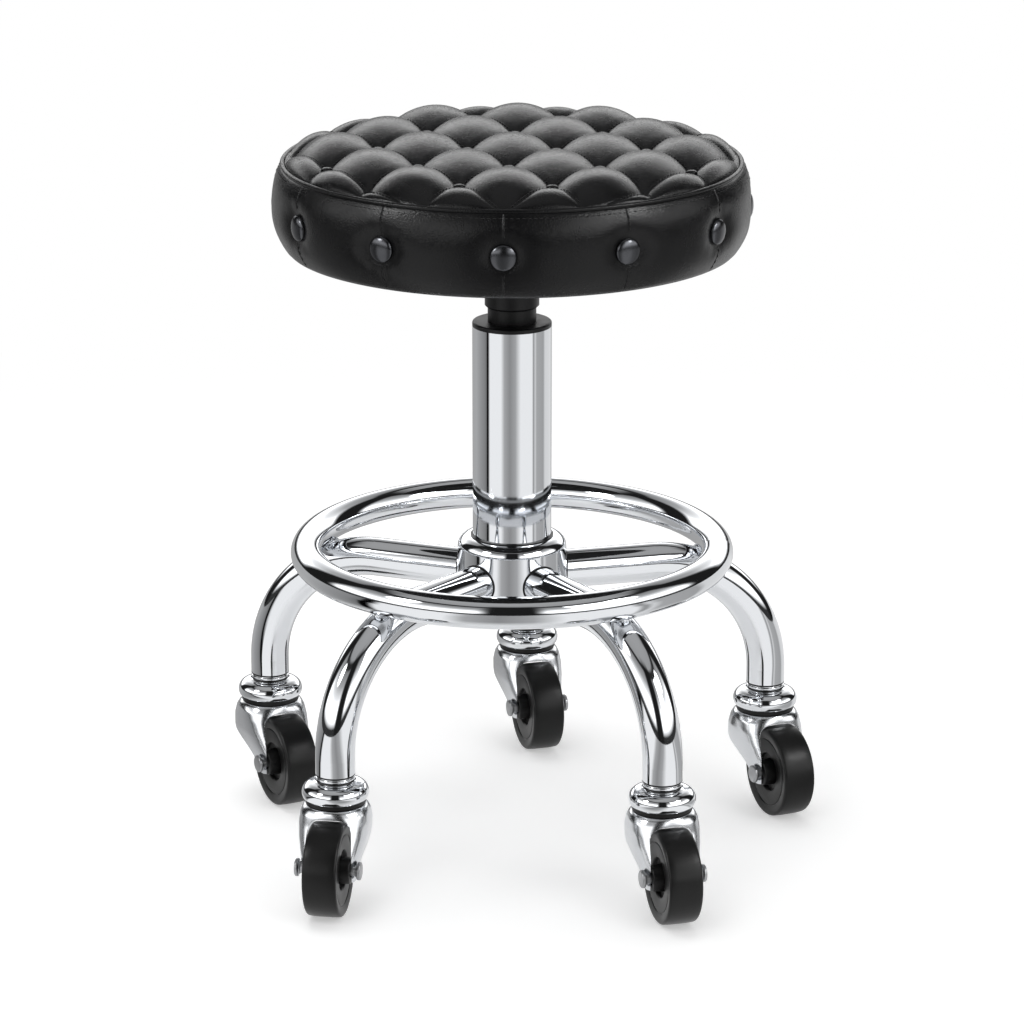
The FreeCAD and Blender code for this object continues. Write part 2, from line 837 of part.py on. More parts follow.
def side_studs():
    body = new_body("side_studs", dim.seat_turn)
    level = plate_top + dim.stud_level
    base = stud_seat_radius
    dome = (dim.stud_radius * dim.stud_radius + dim.stud_dome * dim.stud_dome) / (2 * dim.stud_dome)
    sketch = sketch_on(body, "XZ_Plane")
    draw(sketch, [
        (base - dim.stud_shank, level),
        (base + dim.stud_dome, level),
        Arc(dome, 1),
        (base, level + dim.stud_radius),
        (base, level + dim.stud_shank_radius),
        (base - dim.stud_shank, level + dim.stud_shank_radius),
    ])
    polar(body, turn_profile(body, dimple_axis(sketch, level), "Axis0"), STUD_COUNT)


def welt():
    body = new_body("welt")
    sketch = sketch_on(body, "XZ_Plane")
    draw_circle(sketch, welt_circle, band_top + dim.welt_radius + dim.welt_gap, dim.welt_radius)
    turn_profile(body, sketch)


def top_radius():
    return welt_circle - dim.welt_radius - dim.welt_gap


def tuft_point(across, along):
    """A corner of the tuft lattice, counted in half diamonds from the seat's centre."""
    x = dim.tuft_width.value / 2 * across
    y = dim.tuft_length.value / 2 * along
    crown = dim.tuft_crown.value * (1 - (x ** 2 + y ** 2) / dim.seat_radius.value ** 2)
    return Vector(x, y, tuft_base.value + crown)


def pillow_face(across, along):
    """One tuft: a patch that is lowest at the diamond's corners and domed between them."""
    front, right, left, back = [tuft_point(across + step, along + row)
                                for step, row in ((0, -1), (1, 0), (-1, 0), (0, 1))]
    patch = Part.BezierSurface()
    patch.increase(2, 2)
    edge_rise = dim.tuft_height.value
    for i in range(3):
        for j in range(3):
            s, t = i / 2, j / 2
            low = front * (1 - s) * (1 - t) + right * s * (1 - t) + left * (1 - s) * t + back * s * t
            rise = edge_rise * ((i == 1) + (j == 1)) + crown_twist(i, j)
            patch.setPole(i + 1, j + 1, Vector(low.x, low.y, low.z + rise))
    return patch.toShape()


def crown_twist(i, j):
    """How far a patch's middle poles stand over its corners to follow the crown of the seat."""
    side = (dim.tuft_width.value ** 2 + dim.tuft_length.value ** 2) / 4
    return dim.tuft_crown.value * side / dim.seat_radius.value ** 2 / 2 * ((i == 1) + (j == 1))


def lattice_wall(start, end, floor):
    """The upright face under one outer edge of the lattice."""
    middle = (start + end) * 0.5
    side = Vector(start.x - end.x, start.y - end.y, 0).Length
    lift = dim.tuft_height.value / 2
    lift += dim.tuft_crown.value * side ** 2 / dim.seat_radius.value ** 2 / 4
    curve = Part.BezierCurve()
    curve.setPoles([start, middle + Vector(0, 0, lift * 2), end])
    low_start = Vector(start.x, start.y, floor)
    low_end = Vector(end.x, end.y, floor)
    edges = [curve.toShape(), Part.makeLine(end, low_end), Part.makeLine(low_end, low_start),
             Part.makeLine(low_start, start)]
    return Part.Face(Part.Wire(edges))


def tuft_block(floor):
    """All the tufts over a rectangle wider than the seat, as one solid standing on the floor."""
    columns = math.ceil(dim.seat_radius.value / (dim.tuft_width.value / 2)) + 1
    rows = math.ceil(dim.seat_radius.value / (dim.tuft_length.value / 2)) + 1
    faces = []
    outer = set()
    for across in range(-columns, columns + 1):
        for along in range(-rows, rows + 1):
            if (across + along) % 2:
                continue
            faces.append(pillow_face(across, along))
            ring = [(across, along - 1), (across + 1, along), (across, along + 1), (across - 1, along)]
            for start, end in zip(ring, ring[1:] + ring[:1]):
                if (end, start) in outer:
                    outer.remove((end, start))
                else:
                    outer.add((start, end))
    faces.extend(lattice_wall(tuft_point(*start), tuft_point(*end), floor) for start, end in outer)
    follow = dict(outer)
    place = next(iter(follow))
    loop = [place]
    while follow[loop[-1]] != place:
        loop.append(follow[loop[-1]])
    corners = [Vector(tuft_point(*corner).x, tuft_point(*corner).y, floor) for corner in loop]
    faces.append(Part.Face(Part.makePolygon(corners + corners[:1])))
    shell = Part.makeShell(faces)
    shell.sewShape()
    return Part.Solid(shell)


def button_places():
    """Lattice corners that carry a button: all but those close to the seat's edge."""
    reach = top_radius().value - dim.button_margin.value
    columns = math.ceil(reach / (dim.tuft_width.value / 2))
    rows = math.ceil(reach / (dim.tuft_length.value / 2))
    places = []
    for across in range(-columns, columns + 1):
        for along in range(-rows, rows + 1):
            corner = tuft_point(across, along)
            if (across + along) % 2 and math.hypot(corner.x, corner.y) < reach:
                places.append(corner)
    return places


def tufted_top():
    """The tufted cushion: the tufts, cut to a round plan whose upper edge is rolled over."""
    floor = band_top.value
    radius = top_radius().value
    ceiling = tuft_base.value + dim.tuft_crown.value + dim.tuft_height.value + dim.tuft_headroom.value
    wall = floor + dim.top_wall.value
    bend = dim.top_round.value
    shoulder = Vector(radius - bend, 0, wall + bend)
    quarter = math.sqrt(0.5) * bend
    middle = Vector(radius - bend + quarter, 0, wall + quarter)
    side = [Vector(0, 0, floor), Vector(radius, 0, floor), Vector(radius, 0, wall)]
    edges = [Part.makeLine(first, last) for first, last in zip(side, side[1:])]
    edges.append(Part.Arc(side[-1], middle, shoulder).toShape())
    roof = [shoulder, Vector(radius - bend, 0, ceiling + bend), Vector(0, 0, ceiling + bend), side[0]]
    edges.extend(Part.makeLine(first, last) for first, last in zip(roof, roof[1:]))
    plan = Part.Face(Part.Wire(edges)).revolve(Vector(), Vector(0, 0, 1), 360)
    cushion = tuft_block(floor - dim.top_wall.value).common(plan)
    hole = dim.button_radius.value + dim.button_gap.value
    sinks = []
    buttons = []
    for corner in button_places():
        base = Vector(corner.x, corner.y, corner.z - dim.button_sink.value)
        sinks.append(Part.makeCylinder(hole, dim.button_sink.value + dim.tuft_height.value, base))
        buttons.append(button(base))
    cushion = cushion.cut(Part.makeCompound(sinks))
    for label, shape in (("tufted_top", cushion.Solids[0]), ("tuft_buttons", Part.makeCompound(buttons))):
        piece = add_shape(label, shape)
        piece.Placement = FreeCAD.Placement(Vector(), FreeCAD.Rotation(Vector(0, 0, 1), dim.seat_turn.value))


def button(base):
    """A covered button: a short drum under a shallow dome."""
    radius = dim.button_radius.value
    dome = dim.button_proud.value
    height = dim.button_sink.value
    ball = (radius ** 2 + dome ** 2) / (2 * dome)
    drum = Part.makeCylinder(radius, height + dome, base)
    return drum.common(Part.makeSphere(ball, base + Vector(0, 0, height + dome - ball)))


def lever():
    """The lift lever under the seat, its grip, and the pin it rocks on. It slopes down outwards."""
    arm = new_body("lever_arm")
    rod = sketch_on(arm, "XZ_Plane", -dim.lever_outer)
    draw_circle(rod, 0, 0, dim.lever_radius)
    pad(arm, rod, dim.lever_outer + dim.lever_inner)
    boss = sketch_on(arm, "YZ_Plane")
    draw_circle(boss, 0, 0, dim.lever_boss_radius)
    pad(arm, boss, dim.ear_gap - 2 * dim.ear_play, SideType="Symmetric")
    hole = sketch_on(arm, "YZ_Plane")
    draw_circle(hole, 0, 0, dim.pivot_radius + dim.axle_play)
    feature(arm, "Pocket", hole, Length=dim.ear_gap + dim.cut_over, SideType="Symmetric")
    grip = new_body("lever_grip")
    bore = dim.lever_radius + dim.fit
    sketch = sketch_on(grip, "YZ_Plane")
    start = dim.lever_outer + dim.grip_end - dim.grip_length
    end = dim.lever_outer + dim.grip_end
    draw(sketch, [
        (start, bore),
        (start, dim.grip_radius),
        (end - dim.grip_end, dim.grip_radius),
        Arc(dim.grip_end, -1),
        (end, dim.grip_radius - dim.grip_end),
        (end, 0),
        (dim.lever_outer, 0),
        (dim.lever_outer, bore),
    ])
    turn_profile(grip, sketch, "H_Axis")
    for body in (arm, grip):
        body.Placement = FreeCAD.Placement(Vector(), FreeCAD.Rotation(Vector(1, 0, 0), -dim.lever_slope.value))
        body.setExpression("Placement.Rotation.Angle", (-dim.lever_slope).formula)
        move(body, 0, dim.lever_pivot_out, pivot_level)
    pin = new_body("lever_pin")
    half = dim.ear_gap / 2 + dim.ear_wall
    sketch = sketch_on(pin, "XZ_Plane")
    draw(sketch, [
        (-half - dim.pivot_head, 0),
        (-half - dim.pivot_head, dim.pivot_head_radius),
        (-half, dim.pivot_head_radius),
        (-half, dim.pivot_radius),
        (half, dim.pivot_radius),
        (half, dim.pivot_head_radius),
        (half + dim.pivot_head, dim.pivot_head_radius),
        (half + dim.pivot_head, 0),
    ])
    turn_profile(pin, sketch, "H_Axis")
    move(pin, 0, dim.lever_pivot_out, pivot_level)


def leg_ends():
    """What closes each leg: the plug with its neck, the caster's stem, its cap, balls and seal."""
    stem_bore = dim.stem_radius + dim.fit
    plug_radius = dim.leg_radius - dim.leg_wall - dim.fit
    plug_top = leg_tail_top - dim.plug_inset
    stem_top = plug_top - dim.stem_inset
    turned_group("leg_plugs", [
        (stem_bore, cap_top),
        (dim.leg_radius - dim.neck_inset, cap_top),
        (dim.leg_radius - dim.neck_inset, leg_end),
        (plug_radius, leg_end),
        (plug_radius, plug_top),
        (stem_bore, plug_top),
    ], dim.stem_circle, LEG_COUNT, first_leg_turn)
    head_top = web_bottom - dim.swivel_play
    turned_group("caster_stems", [
        (0, head_top - dim.stem_head_height),
        (dim.stem_head_radius, head_top - dim.stem_head_height),
        (dim.stem_head_radius, head_top),
        (dim.stem_radius, head_top),
        (dim.stem_radius, stem_top),
        (0, stem_top),
    ], dim.stem_circle, LEG_COUNT, first_leg_turn)
    dome_run = dim.cap_radius - dim.leg_radius
    dome_rise = dim.cap_height - dim.cap_rim
    dome = (dome_run * dome_run + dome_rise * dome_rise) / (2 * dome_rise)
    turned_group("race_caps", [
        (stem_bore, cap_bottom),
        (dim.cap_radius, cap_bottom),
        (dim.cap_radius, cap_bottom + dim.cap_rim),
        Arc(dome, 1),
        (dim.leg_radius, cap_top),
        (stem_bore, cap_top),
    ], dim.stem_circle, LEG_COUNT, first_leg_turn)
    turned_group("race_seals", ring_outline(
        dim.seal_radius - dim.seal_wall, dim.seal_radius, fork_top + dim.swivel_play, cap_bottom,
    ), dim.stem_circle, LEG_COUNT, first_leg_turn)
    balls = []
    for index in range(LEG_COUNT):
        heading = math.radians(leg_angle(index))
        stem = Vector(math.sin(heading), -math.cos(heading), 0) * dim.stem_circle.value
        level = Vector(0, 0, cap_bottom.value - dim.ball_radius.value)
        for step in range(BALL_COUNT):
            turn = 2 * math.pi * step / BALL_COUNT
            out = Vector(math.cos(turn), math.sin(turn), 0) * dim.ball_circle.value
            balls.append(Part.makeSphere(dim.ball_radius.value, stem + level + out))
    add_shape("race_balls", Part.makeCompound(balls))


def fork_plate_section(body, level, outer):
    """A slice of one fork plate, deeper than the fork, that the side outline then trims."""
    sketch = sketch_on(body, "XY_Plane", level)
    reach = dim.fork_depth
    inner = outer - dim.fork_wall
    draw(sketch, [(inner, -reach), (outer, -reach), (outer, reach), (inner, reach)])
    return sketch


def fork(name):
    """A pressed fork: flared side plates under a web, with the raceway on top of it."""
    body = new_body(f"fork_{name}")
    shoulder = web_top - dim.fork_shoulder_drop
    foot_top_level = axle_level + dim.fork_foot_radius
    foot_bottom = axle_level - dim.fork_foot_radius - dim.fork_wall
    foot_outer = dim.fork_gap / 2 + dim.fork_wall
    top_section = fork_plate_section(body, web_top, dim.fork_width / 2)
    lower = [fork_plate_section(body, shoulder, dim.fork_width / 2),
             fork_plate_section(body, foot_top_level, foot_outer),
             fork_plate_section(body, foot_bottom, foot_outer)]
    plate = feature(body, "AdditiveLoft", top_section, Sections=lower, Ruled=True)
    mirror(body, plate)
    web = sketch_on(body, "XY_Plane", web_bottom)
    draw_rounded(web, dim.fork_width / 2, dim.fork_depth / 2, dim.fork_web_corner)
    pad(body, web, dim.fork_web)
    trim = sketch_on(body, "YZ_Plane")
    edge = dim.fork_depth / 2
    frame = dim.fork_depth + dim.cut_over
    axle_out = -dim.caster_trail
    foot = dim.fork_foot_radius
    draw(trim, [(-frame, -frame), (frame, -frame), (frame, fork_top), (-frame, fork_top)])
    draw(trim, [
        (edge, web_top),
        (-edge, web_top),
        (-edge, shoulder),
        (axle_out - foot, axle_level),
        Arc(foot, 1),
        (axle_out, axle_level - foot),
        Arc(foot, 1),
        (axle_out + foot, axle_level),
        (edge, shoulder),
    ])
    feature(body, "Pocket", trim, Length=dim.fork_width + dim.cut_over, SideType="Symmetric")
    race = sketch_on(body, "XY_Plane", web_top - dim.fork_web)
    draw_circle(race, 0, 0, dim.fork_race_radius)
    pad(body, race, dim.fork_web + dim.fork_race_height)
    stem_hole = sketch_on(body, "XY_Plane", web_bottom)
    draw_circle(stem_hole, 0, 0, dim.stem_radius + dim.stem_play)
    feature(body, "Pocket", stem_hole, Length=dim.fork_rise, Reversed=True)
    axle_hole = sketch_on(body, "YZ_Plane")
    draw_circle(axle_hole, axle_out, axle_level, dim.axle_radius + dim.fit)
    feature(body, "Pocket", axle_hole, Length=dim.fork_width + dim.cut_over, SideType="Symmetric")
    return body


def axle(name):
    """The wheel's bolt, with a round head on each side of the fork."""
    body = new_body(f"axle_{name}")
    half = dim.fork_gap / 2 + dim.fork_wall
    end = half + dim.axle_head_height
    edge = dim.axle_head_radius - dim.axle_head_chamfer
    sketch = sketch_on(body, "XZ_Plane")
    draw(sketch, [
        (-end, 0),
        (-end, edge),
        (dim.axle_head_chamfer - end, dim.axle_head_radius),
        (-half, dim.axle_head_radius),
        (-half, dim.axle_radius),
        (half, dim.axle_radius),
        (half, dim.axle_head_radius),
        (end - dim.axle_head_chamfer, dim.axle_head_radius),
        (end, edge),
        (end, 0),
    ])
    turn_profile(body, sketch, "H_Axis")
    return body


def wheel(name):
    """A wheel with a rounded tread, dished sides and a boss that runs on the axle."""
    body = new_body(f"wheel_{name}")
    half = dim.wheel_width / 2
    dish = half - dim.wheel_dish_depth
    boss = dim.fork_gap / 2 - dim.wheel_side_gap
    bore = dim.axle_radius + dim.axle_play
    tread = dim.wheel_radius
    shoulder = dim.wheel_shoulder
    sketch = sketch_on(body, "XZ_Plane")
    draw(sketch, [
        (-boss, bore),
        (boss, bore),
        (boss, dim.wheel_boss_radius),
        (dish, dim.wheel_boss_radius),
        (dish, dim.wheel_dish_radius),
        (half, dim.wheel_dish_radius),
        (half, tread - shoulder),
        Arc(shoulder, 1),
        (half - shoulder, tread),
        (shoulder - half, tread),
        Arc(shoulder, 1),
        (-half, tread - shoulder),
        (-half, dim.wheel_dish_radius),
        (-dish, dim.wheel_dish_radius),
        (-dish, dim.wheel_boss_radius),
        (-boss, dim.wheel_boss_radius),
    ])
    turn_profile(body, sketch, "H_Axis")
    return body


def caster(name, index):
    """One caster, turned about its stem to its rest heading."""
    turn = getattr(dim, f"turn_{name}")
    angle = leg_angle(index)
    stem_x = dim.stem_circle * math.sin(math.radians(angle))
    stem_y = dim.stem_circle * -math.cos(math.radians(angle))
    wheel_x = stem_x + dim.caster_trail * sine(turn)
    wheel_y = stem_y - dim.caster_trail * cosine(turn)
    places = ((fork(name), stem_x, stem_y, 0),
              (axle(name), wheel_x, wheel_y, axle_level),
              (wheel(name), wheel_x, wheel_y, axle_level))
    for body, x, y, z in places:
        body.Placement = FreeCAD.Placement(Vector(), FreeCAD.Rotation(Vector(0, 0, 1), turn.value))
        body.setExpression("Placement.Rotation.Angle", turn.formula)
        move(body, x, y, z)


def build():
    hub()
    for index, name in enumerate(LEGS):
        leg(name, index)
    foot_ring()
    ring_welds()
    column()
    leg_ends()
    for index, name in enumerate(LEGS):
        caster(name, index)
    lift_rod()
    gas_cylinder()
    seat_socket()
    seat_plate()
    seat_fasteners()
    seat_board()
    foam_core()
    side_band()
    side_studs()
    welt()
    tufted_top()
    lever()
    doc.recompute()


def check():
    for item in doc.Objects:
        if "Invalid" in item.State or "Error" in item.State:
            raise RuntimeError(f"{item.Name} failed to build: {item.State}")
    for piece in pieces:
        if piece.Shape.isNull() or not piece.Shape.isValid() or not piece.Shape.Solids:
            raise RuntimeError(f"{piece.Label} has no valid solid")


def write():
    os.makedirs("parts", exist_ok=True)
    for piece in pieces:
        piece.Shape.exportStep(f"parts/{piece.Label}.step")
        box = piece.Shape.BoundBox
        print(f"{piece.Label}: {len(piece.Shape.Solids)} solids, {piece.Shape.Volume:.0f} mm3, "
              f"z {box.ZMin:.1f} to {box.ZMax:.1f}")


build()
check()
write()
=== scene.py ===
"""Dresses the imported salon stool: tufted leather seat, chrome frame, casters, studio and camera."""

import json
import logging
import math
from dataclasses import dataclass
from enum import Enum
from typing import Any, Callable, Iterable, Sequence

import bmesh
import bpy
from mathutils import Matrix, Vector, noise
from mathutils.bvhtree import BVHTree

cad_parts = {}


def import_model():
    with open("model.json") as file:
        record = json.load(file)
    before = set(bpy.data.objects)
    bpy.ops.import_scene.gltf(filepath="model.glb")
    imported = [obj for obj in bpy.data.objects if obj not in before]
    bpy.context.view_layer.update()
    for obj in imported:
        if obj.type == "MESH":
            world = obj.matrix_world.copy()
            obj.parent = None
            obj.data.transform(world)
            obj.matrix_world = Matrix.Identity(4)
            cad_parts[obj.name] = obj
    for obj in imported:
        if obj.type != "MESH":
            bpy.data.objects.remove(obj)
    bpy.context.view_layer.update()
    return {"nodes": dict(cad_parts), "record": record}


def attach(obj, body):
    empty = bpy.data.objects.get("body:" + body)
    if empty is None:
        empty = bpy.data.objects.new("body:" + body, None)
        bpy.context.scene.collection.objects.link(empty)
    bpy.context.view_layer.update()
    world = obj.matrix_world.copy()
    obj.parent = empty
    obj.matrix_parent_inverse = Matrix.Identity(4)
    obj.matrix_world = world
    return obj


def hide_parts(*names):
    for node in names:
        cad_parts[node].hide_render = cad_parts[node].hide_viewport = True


Mesh = bmesh.types.BMesh
Node = bpy.types.Node
Piece = bpy.types.Object
Socket = bpy.types.NodeSocket
Tree = bpy.types.NodeTree
Mark = tuple[Vector, Vector, Vector]
Point = tuple[float, float, float]
Outline = Sequence[Point]

LOG = logging.getLogger("salon_stool")
MM = 0.001
FULL_TURN = 2 * math.pi
CORNER_STEPS = 4
ON_AXIS = 1e-6
SAME_POINT = 1e-4
CRISP_DEG = 38.0
ALL_SMOOTH_DEG = 180.0
WHITE = (1.0, 1.0, 1.0, 1.0)
# The seat stands turned by this much in the photograph.
SEAT_TURN = Matrix.Rotation(math.radians(1.4), 4, "Z")
STITCH_PITCH = 4.2
STITCH_LENGTH = 2.8
STITCH_LIFT = 0.1


class Slot(Enum):
    """The record's material slots."""

    CHROME = "chrome"
    STEEL = "steel"
    BLACK_STEEL = "black_steel"
    BLACK_PLASTIC = "black_plastic"
    BLACK_RUBBER = "black_rubber"
    BLACK_LEATHER = "black_leather"
    GUNMETAL = "gunmetal"
    FOAM = "foam"
    DUST_CLOTH = "dust_cloth"
    PLYWOOD = "plywood"


class Body(Enum):
    """The bodies that the pieces ride on, besides those of the casters."""

    BASE = "base"
    SEAT = "seat"


def linear(code: str) -> tuple[float, float, float, float]:
    """Turns an sRGB hex value to linear light.

    Args:
        code: A colour such as "#1a1a1a".

    Returns:
        Red, green, blue and an alpha of 1.
    """
    parts = [int(code[start:start + 2], 16) / 255 for start in (1, 3, 5)]
    light = [part / 12.92 if part <= 0.04045 else ((part + 0.055) / 1.055) ** 2.4 for part in parts]
    return light[0], light[1], light[2], 1.0


def per_metre(size_mm: float) -> float:
    """Gives the texture scale whose features are this many millimetres across."""
    return 1 / (size_mm * MM)


def clamped(value: float) -> float:
    """Holds a value between 0 and 1."""
    return min(max(value, 0.0), 1.0)


def level_way(angle: float) -> Vector:
    """Gives the level direction at an angle from X."""
    return Vector((math.cos(angle), math.sin(angle), 0))


def turn_about(axis: str, degrees: float) -> Matrix:
    """Gives a turn about an axis."""
    return Matrix.Rotation(math.radians(degrees), 4, axis)


def add_node(tree: Tree, kind: str, inputs: dict[Any, Any] | None = None, **settings: Any) -> Node:
    """Adds a node with its settings, its input values and its links.

    Args:
        tree: The node tree to add to.
        kind: The node's type name.
        inputs: Input name or number, with the socket to link or the value to set.
        settings: Properties of the node.

    Returns:
        The new node.
    """
    node = tree.nodes.new(kind)
    for name, value in settings.items():
        setattr(node, name, value)
    for name, value in (inputs or {}).items():
        if isinstance(value, Socket):
            tree.links.new(value, node.inputs[name])
        else:
            node.inputs[name].default_value = value
    return node


def own_place(tree: Tree) -> Socket:
    """Gives the object's own coordinates."""
    return add_node(tree, "ShaderNodeTexCoord").outputs["Object"]


def worked_out(tree: Tree, operation: str, first: Socket | float, second: Socket | float = 0.0) -> Socket:
    """Adds a sum of one or two values."""
    return add_node(tree, "ShaderNodeMath", {0: first, 1: second}, operation=operation).outputs["Value"]


def ranged(tree: Tree, value: Socket, source: tuple[float, float], target: tuple[float, float] = (0.0, 1.0),
           smooth: bool = False) -> Socket:
    """Maps a value from its source range to a target range, easing in and out if smooth."""
    return add_node(tree, "ShaderNodeMapRange", {
        "Value": value, "From Min": source[0], "From Max": source[1], "To Min": target[0],
        "To Max": target[1]}, interpolation_type="SMOOTHSTEP" if smooth else "LINEAR").outputs["Result"]


@dataclass(frozen=True)
class Pattern:
    """A procedural pattern: its features' width, how much finer noise rides on them, and its stretch."""

    size_mm: float
    detail: float = 0.0
    cells: bool = False
    stretch: Point | None = None

    def values(self, tree: Tree) -> Socket:
        """Adds the pattern.

        Args:
            tree: The material's nodes.

        Returns:
            Its values, from 0 to 1.
        """
        place = own_place(tree)
        if self.stretch:
            place = add_node(tree, "ShaderNodeMapping", {"Vector": place, "Scale": self.stretch}).outputs[0]
        look_up = {"Vector": place, "Scale": per_metre(self.size_mm)}
        if self.cells:
            return add_node(tree, "ShaderNodeTexVoronoi", look_up).outputs["Distance"]
        return add_node(tree, "ShaderNodeTexNoise", {**look_up, "Detail": self.detail}).outputs["Fac"]


@dataclass(frozen=True)
class Finish:
    """A surface finish: one procedural material for one of the record's slots."""

    title: str
    slot: Slot
    colour: str
    roughness: float
    metallic: float = 0.0
    specular: float = 0.5
    # Unevenness: its pattern, how far the roughness follows it each way, and a colour that it mixes in.
    cloud: Pattern = Pattern(10.0)
    spread: float = 0.0
    other: str = ""
    # Relief: its pattern, its real depth, and how much of it shows.
    grain: Pattern = Pattern(1.0)
    depth_mm: float = 0.0
    shows: float = 1.0

    def material(self) -> bpy.types.Material:
        """Makes the finish's material when it is first asked for.

        Returns:
            The material.
        """
        found = bpy.data.materials.get(self.title)
        if found:
            return found
        made = bpy.data.materials.new(self.title)
        made.use_nodes = True
        tree = made.node_tree
        shader = tree.nodes["Principled BSDF"]
        shader.inputs["Base Color"].default_value = linear(self.colour)
        shader.inputs["Roughness"].default_value = self.roughness
        shader.inputs["Metallic"].default_value = self.metallic
        shader.inputs["Specular IOR Level"].default_value = self.specular
        cloud = self.cloud.values(tree)
        if self.spread:
            limits = (max(self.roughness - self.spread, 0.0), self.roughness + self.spread)
            tree.links.new(ranged(tree, cloud, (0.0, 1.0), limits), shader.inputs["Roughness"])
        if self.other:
            mix = add_node(tree, "ShaderNodeMix", {
                "Factor": cloud, 6: linear(self.colour), 7: linear(self.other)}, data_type="RGBA")
            tree.links.new(mix.outputs[2], shader.inputs["Base Color"])
        if self.depth_mm:
            bump = add_node(tree, "ShaderNodeBump", {
                "Height": self.height(tree), "Distance": self.depth_mm * MM, "Strength": self.shows})
            tree.links.new(bump.outputs["Normal"], shader.inputs["Normal"])
        return made

    def height(self, tree: Tree) -> Socket:
        """Gives the relief's height, from 0 to 1."""
        return self.grain.values(tree)


@dataclass(frozen=True)
class GrainLeather(Finish):
    """Corrected-grain upholstery leather: satin, its pebbles drawn a little coarser than real ones."""

    pebble_mm: float = 2.0
    pebble_edge: float = 0.35
    drift_mm: float = 5.0
    drift_detail: float = 3.0
    drift_share: float = 0.0012

    def height(self, tree: Tree) -> Socket:
        """Gives the height of pebbles that drift off the grid and are crossed by fine creases.

        Args:
            tree: The material's nodes.

        Returns:
            The height, from 0 to 1.
        """
        place = own_place(tree)
        drift = add_node(tree, "ShaderNodeTexNoise", {
            "Vector": place, "Scale": per_metre(self.drift_mm), "Detail": self.drift_detail}).outputs["Color"]
        bent = add_node(tree, "ShaderNodeMix", {"Factor": self.drift_share, 4: place, 5: drift},
                        data_type="VECTOR").outputs[1]
        pebbles = add_node(tree, "ShaderNodeTexVoronoi", {
            "Vector": bent, "Scale": per_metre(self.pebble_mm)}, feature="DISTANCE_TO_EDGE")
        domes = ranged(tree, pebbles.outputs["Distance"], (0.0, self.pebble_edge), smooth=True)
        return worked_out(tree, "MULTIPLY", domes, self.grain.values(tree))


def plated(title: str, colour: str, roughness: float) -> Finish:
    """Gives a chrome plate with patches of faint polishing haze."""
    return Finish(title, Slot.CHROME, colour, roughness, 1.0, cloud=Pattern(40, 4.0), spread=0.025)


def moulded(title: str, slot: Slot, colour: str, roughness: float, grit: tuple[float, float],
            other: str = "#1b1b1c") -> Finish:
    """Gives a satin black with a fine even texture: grit is its width and depth in mm."""
    return Finish(title, slot, colour, roughness, specular=0.25, cloud=Pattern(14, 4.0), spread=0.08,
                  other=other, grain=Pattern(grit[0], 3.0), depth_mm=grit[1], shows=0.5)


def fibrous(title: str, slot: Slot, colour: str, roughness: float, fibre_mm: float, other: str) -> Finish:
    """Gives a dull surface of soft irregular cells or fibres."""
    return Finish(title, slot, colour, roughness, cloud=Pattern(fibre_mm, cells=True), other=other,
                  grain=Pattern(fibre_mm, cells=True), depth_mm=0.2, shows=0.6)


# Chromium over nickel mirrors the studio, with crisp dark edges where the surround is dark.
CHROME = plated("chrome_plate", "#dcdee1", 0.05)
# Plated sheet isn't polished after pressing, so it spreads the studio to soft greys.
PRESSED_PLATE = plated("plated_pressing", "#d0d2d5", 0.2)
# Zinc plate on turned steel is duller and darker than chrome; its tool lines are drawn coarser to show.
STEEL = Finish("zinc_plated_steel", Slot.STEEL, "#a9aaac", 0.32, 1.0, cloud=Pattern(6, 6.0), spread=0.12,
               other="#8b8c8e", grain=Pattern(0.6, 2.0), depth_mm=0.03, shows=0.4)
# Powder coat hides the metal's grain under a satin black skin.
POWDER_COAT = moulded("black_powder_coat", Slot.BLACK_STEEL, "#0f0f10", 0.40, (1.1, 0.05))
# Injection-moulded nylon is black right through, with a dull sheen.
NYLON = moulded("moulded_nylon", Slot.BLACK_PLASTIC, "#0d0d0e", 0.38, (0.8, 0.03))
# Moulded polyurethane treads are a soft black that shows a broad, weak highlight.
TREAD = moulded("moulded_rubber", Slot.BLACK_RUBBER, "#0a0a0a", 0.36, (1.4, 0.04), "#101010")
# Coated upholstery leather takes broad, soft grey highlights on its folds.
LEATHER = GrainLeather("upholstery_leather", Slot.BLACK_LEATHER, "#0a0a0b", 0.26, specular=0.21,
                       cloud=Pattern(28, 5.0), spread=0.09, other="#151516", grain=Pattern(6, 6.0),
                       depth_mm=0.16, shows=0.75)
# Dark nickel on pressed domes is a smoky metal with one soft highlight.
DARK_NICKEL = Finish("dark_nickel", Slot.GUNMETAL, "#56575a", 0.24, 1.0, cloud=Pattern(9, 3.0), spread=0.06,
                     other="#434447")
# Spun polyester thread is matt, so it reads darker than the satin leather round it.
THREAD = fibrous("polyester_thread", Slot.BLACK_LEATHER, "#0f0f10", 0.8, 0.5, "#0c0c0c")
# Polyurethane foam is open-celled and yellows to cream.
FOAM = fibrous("open_cell_foam", Slot.FOAM, "#cfc49f", 0.95, 1.6, "#b5a87f")
# Non-woven polypropylene dust cloth is a thin dull black felt.
DUST_CLOTH = fibrous("nonwoven_cloth", Slot.DUST_CLOTH, "#161616", 0.9, 1.8, "#0b0b0b")
# Birch plywood is left bare inside the seat; its long soft grain runs along Y.
BIRCH_GRAIN = Pattern(3, 6.0, stretch=(1.0, 0.06, 1.0))
PLYWOOD = Finish("birch_plywood", Slot.PLYWOOD, "#c9a878", 0.62, cloud=BIRCH_GRAIN, other="#a9804f",
                 grain=BIRCH_GRAIN, depth_mm=0.1, shows=0.3)

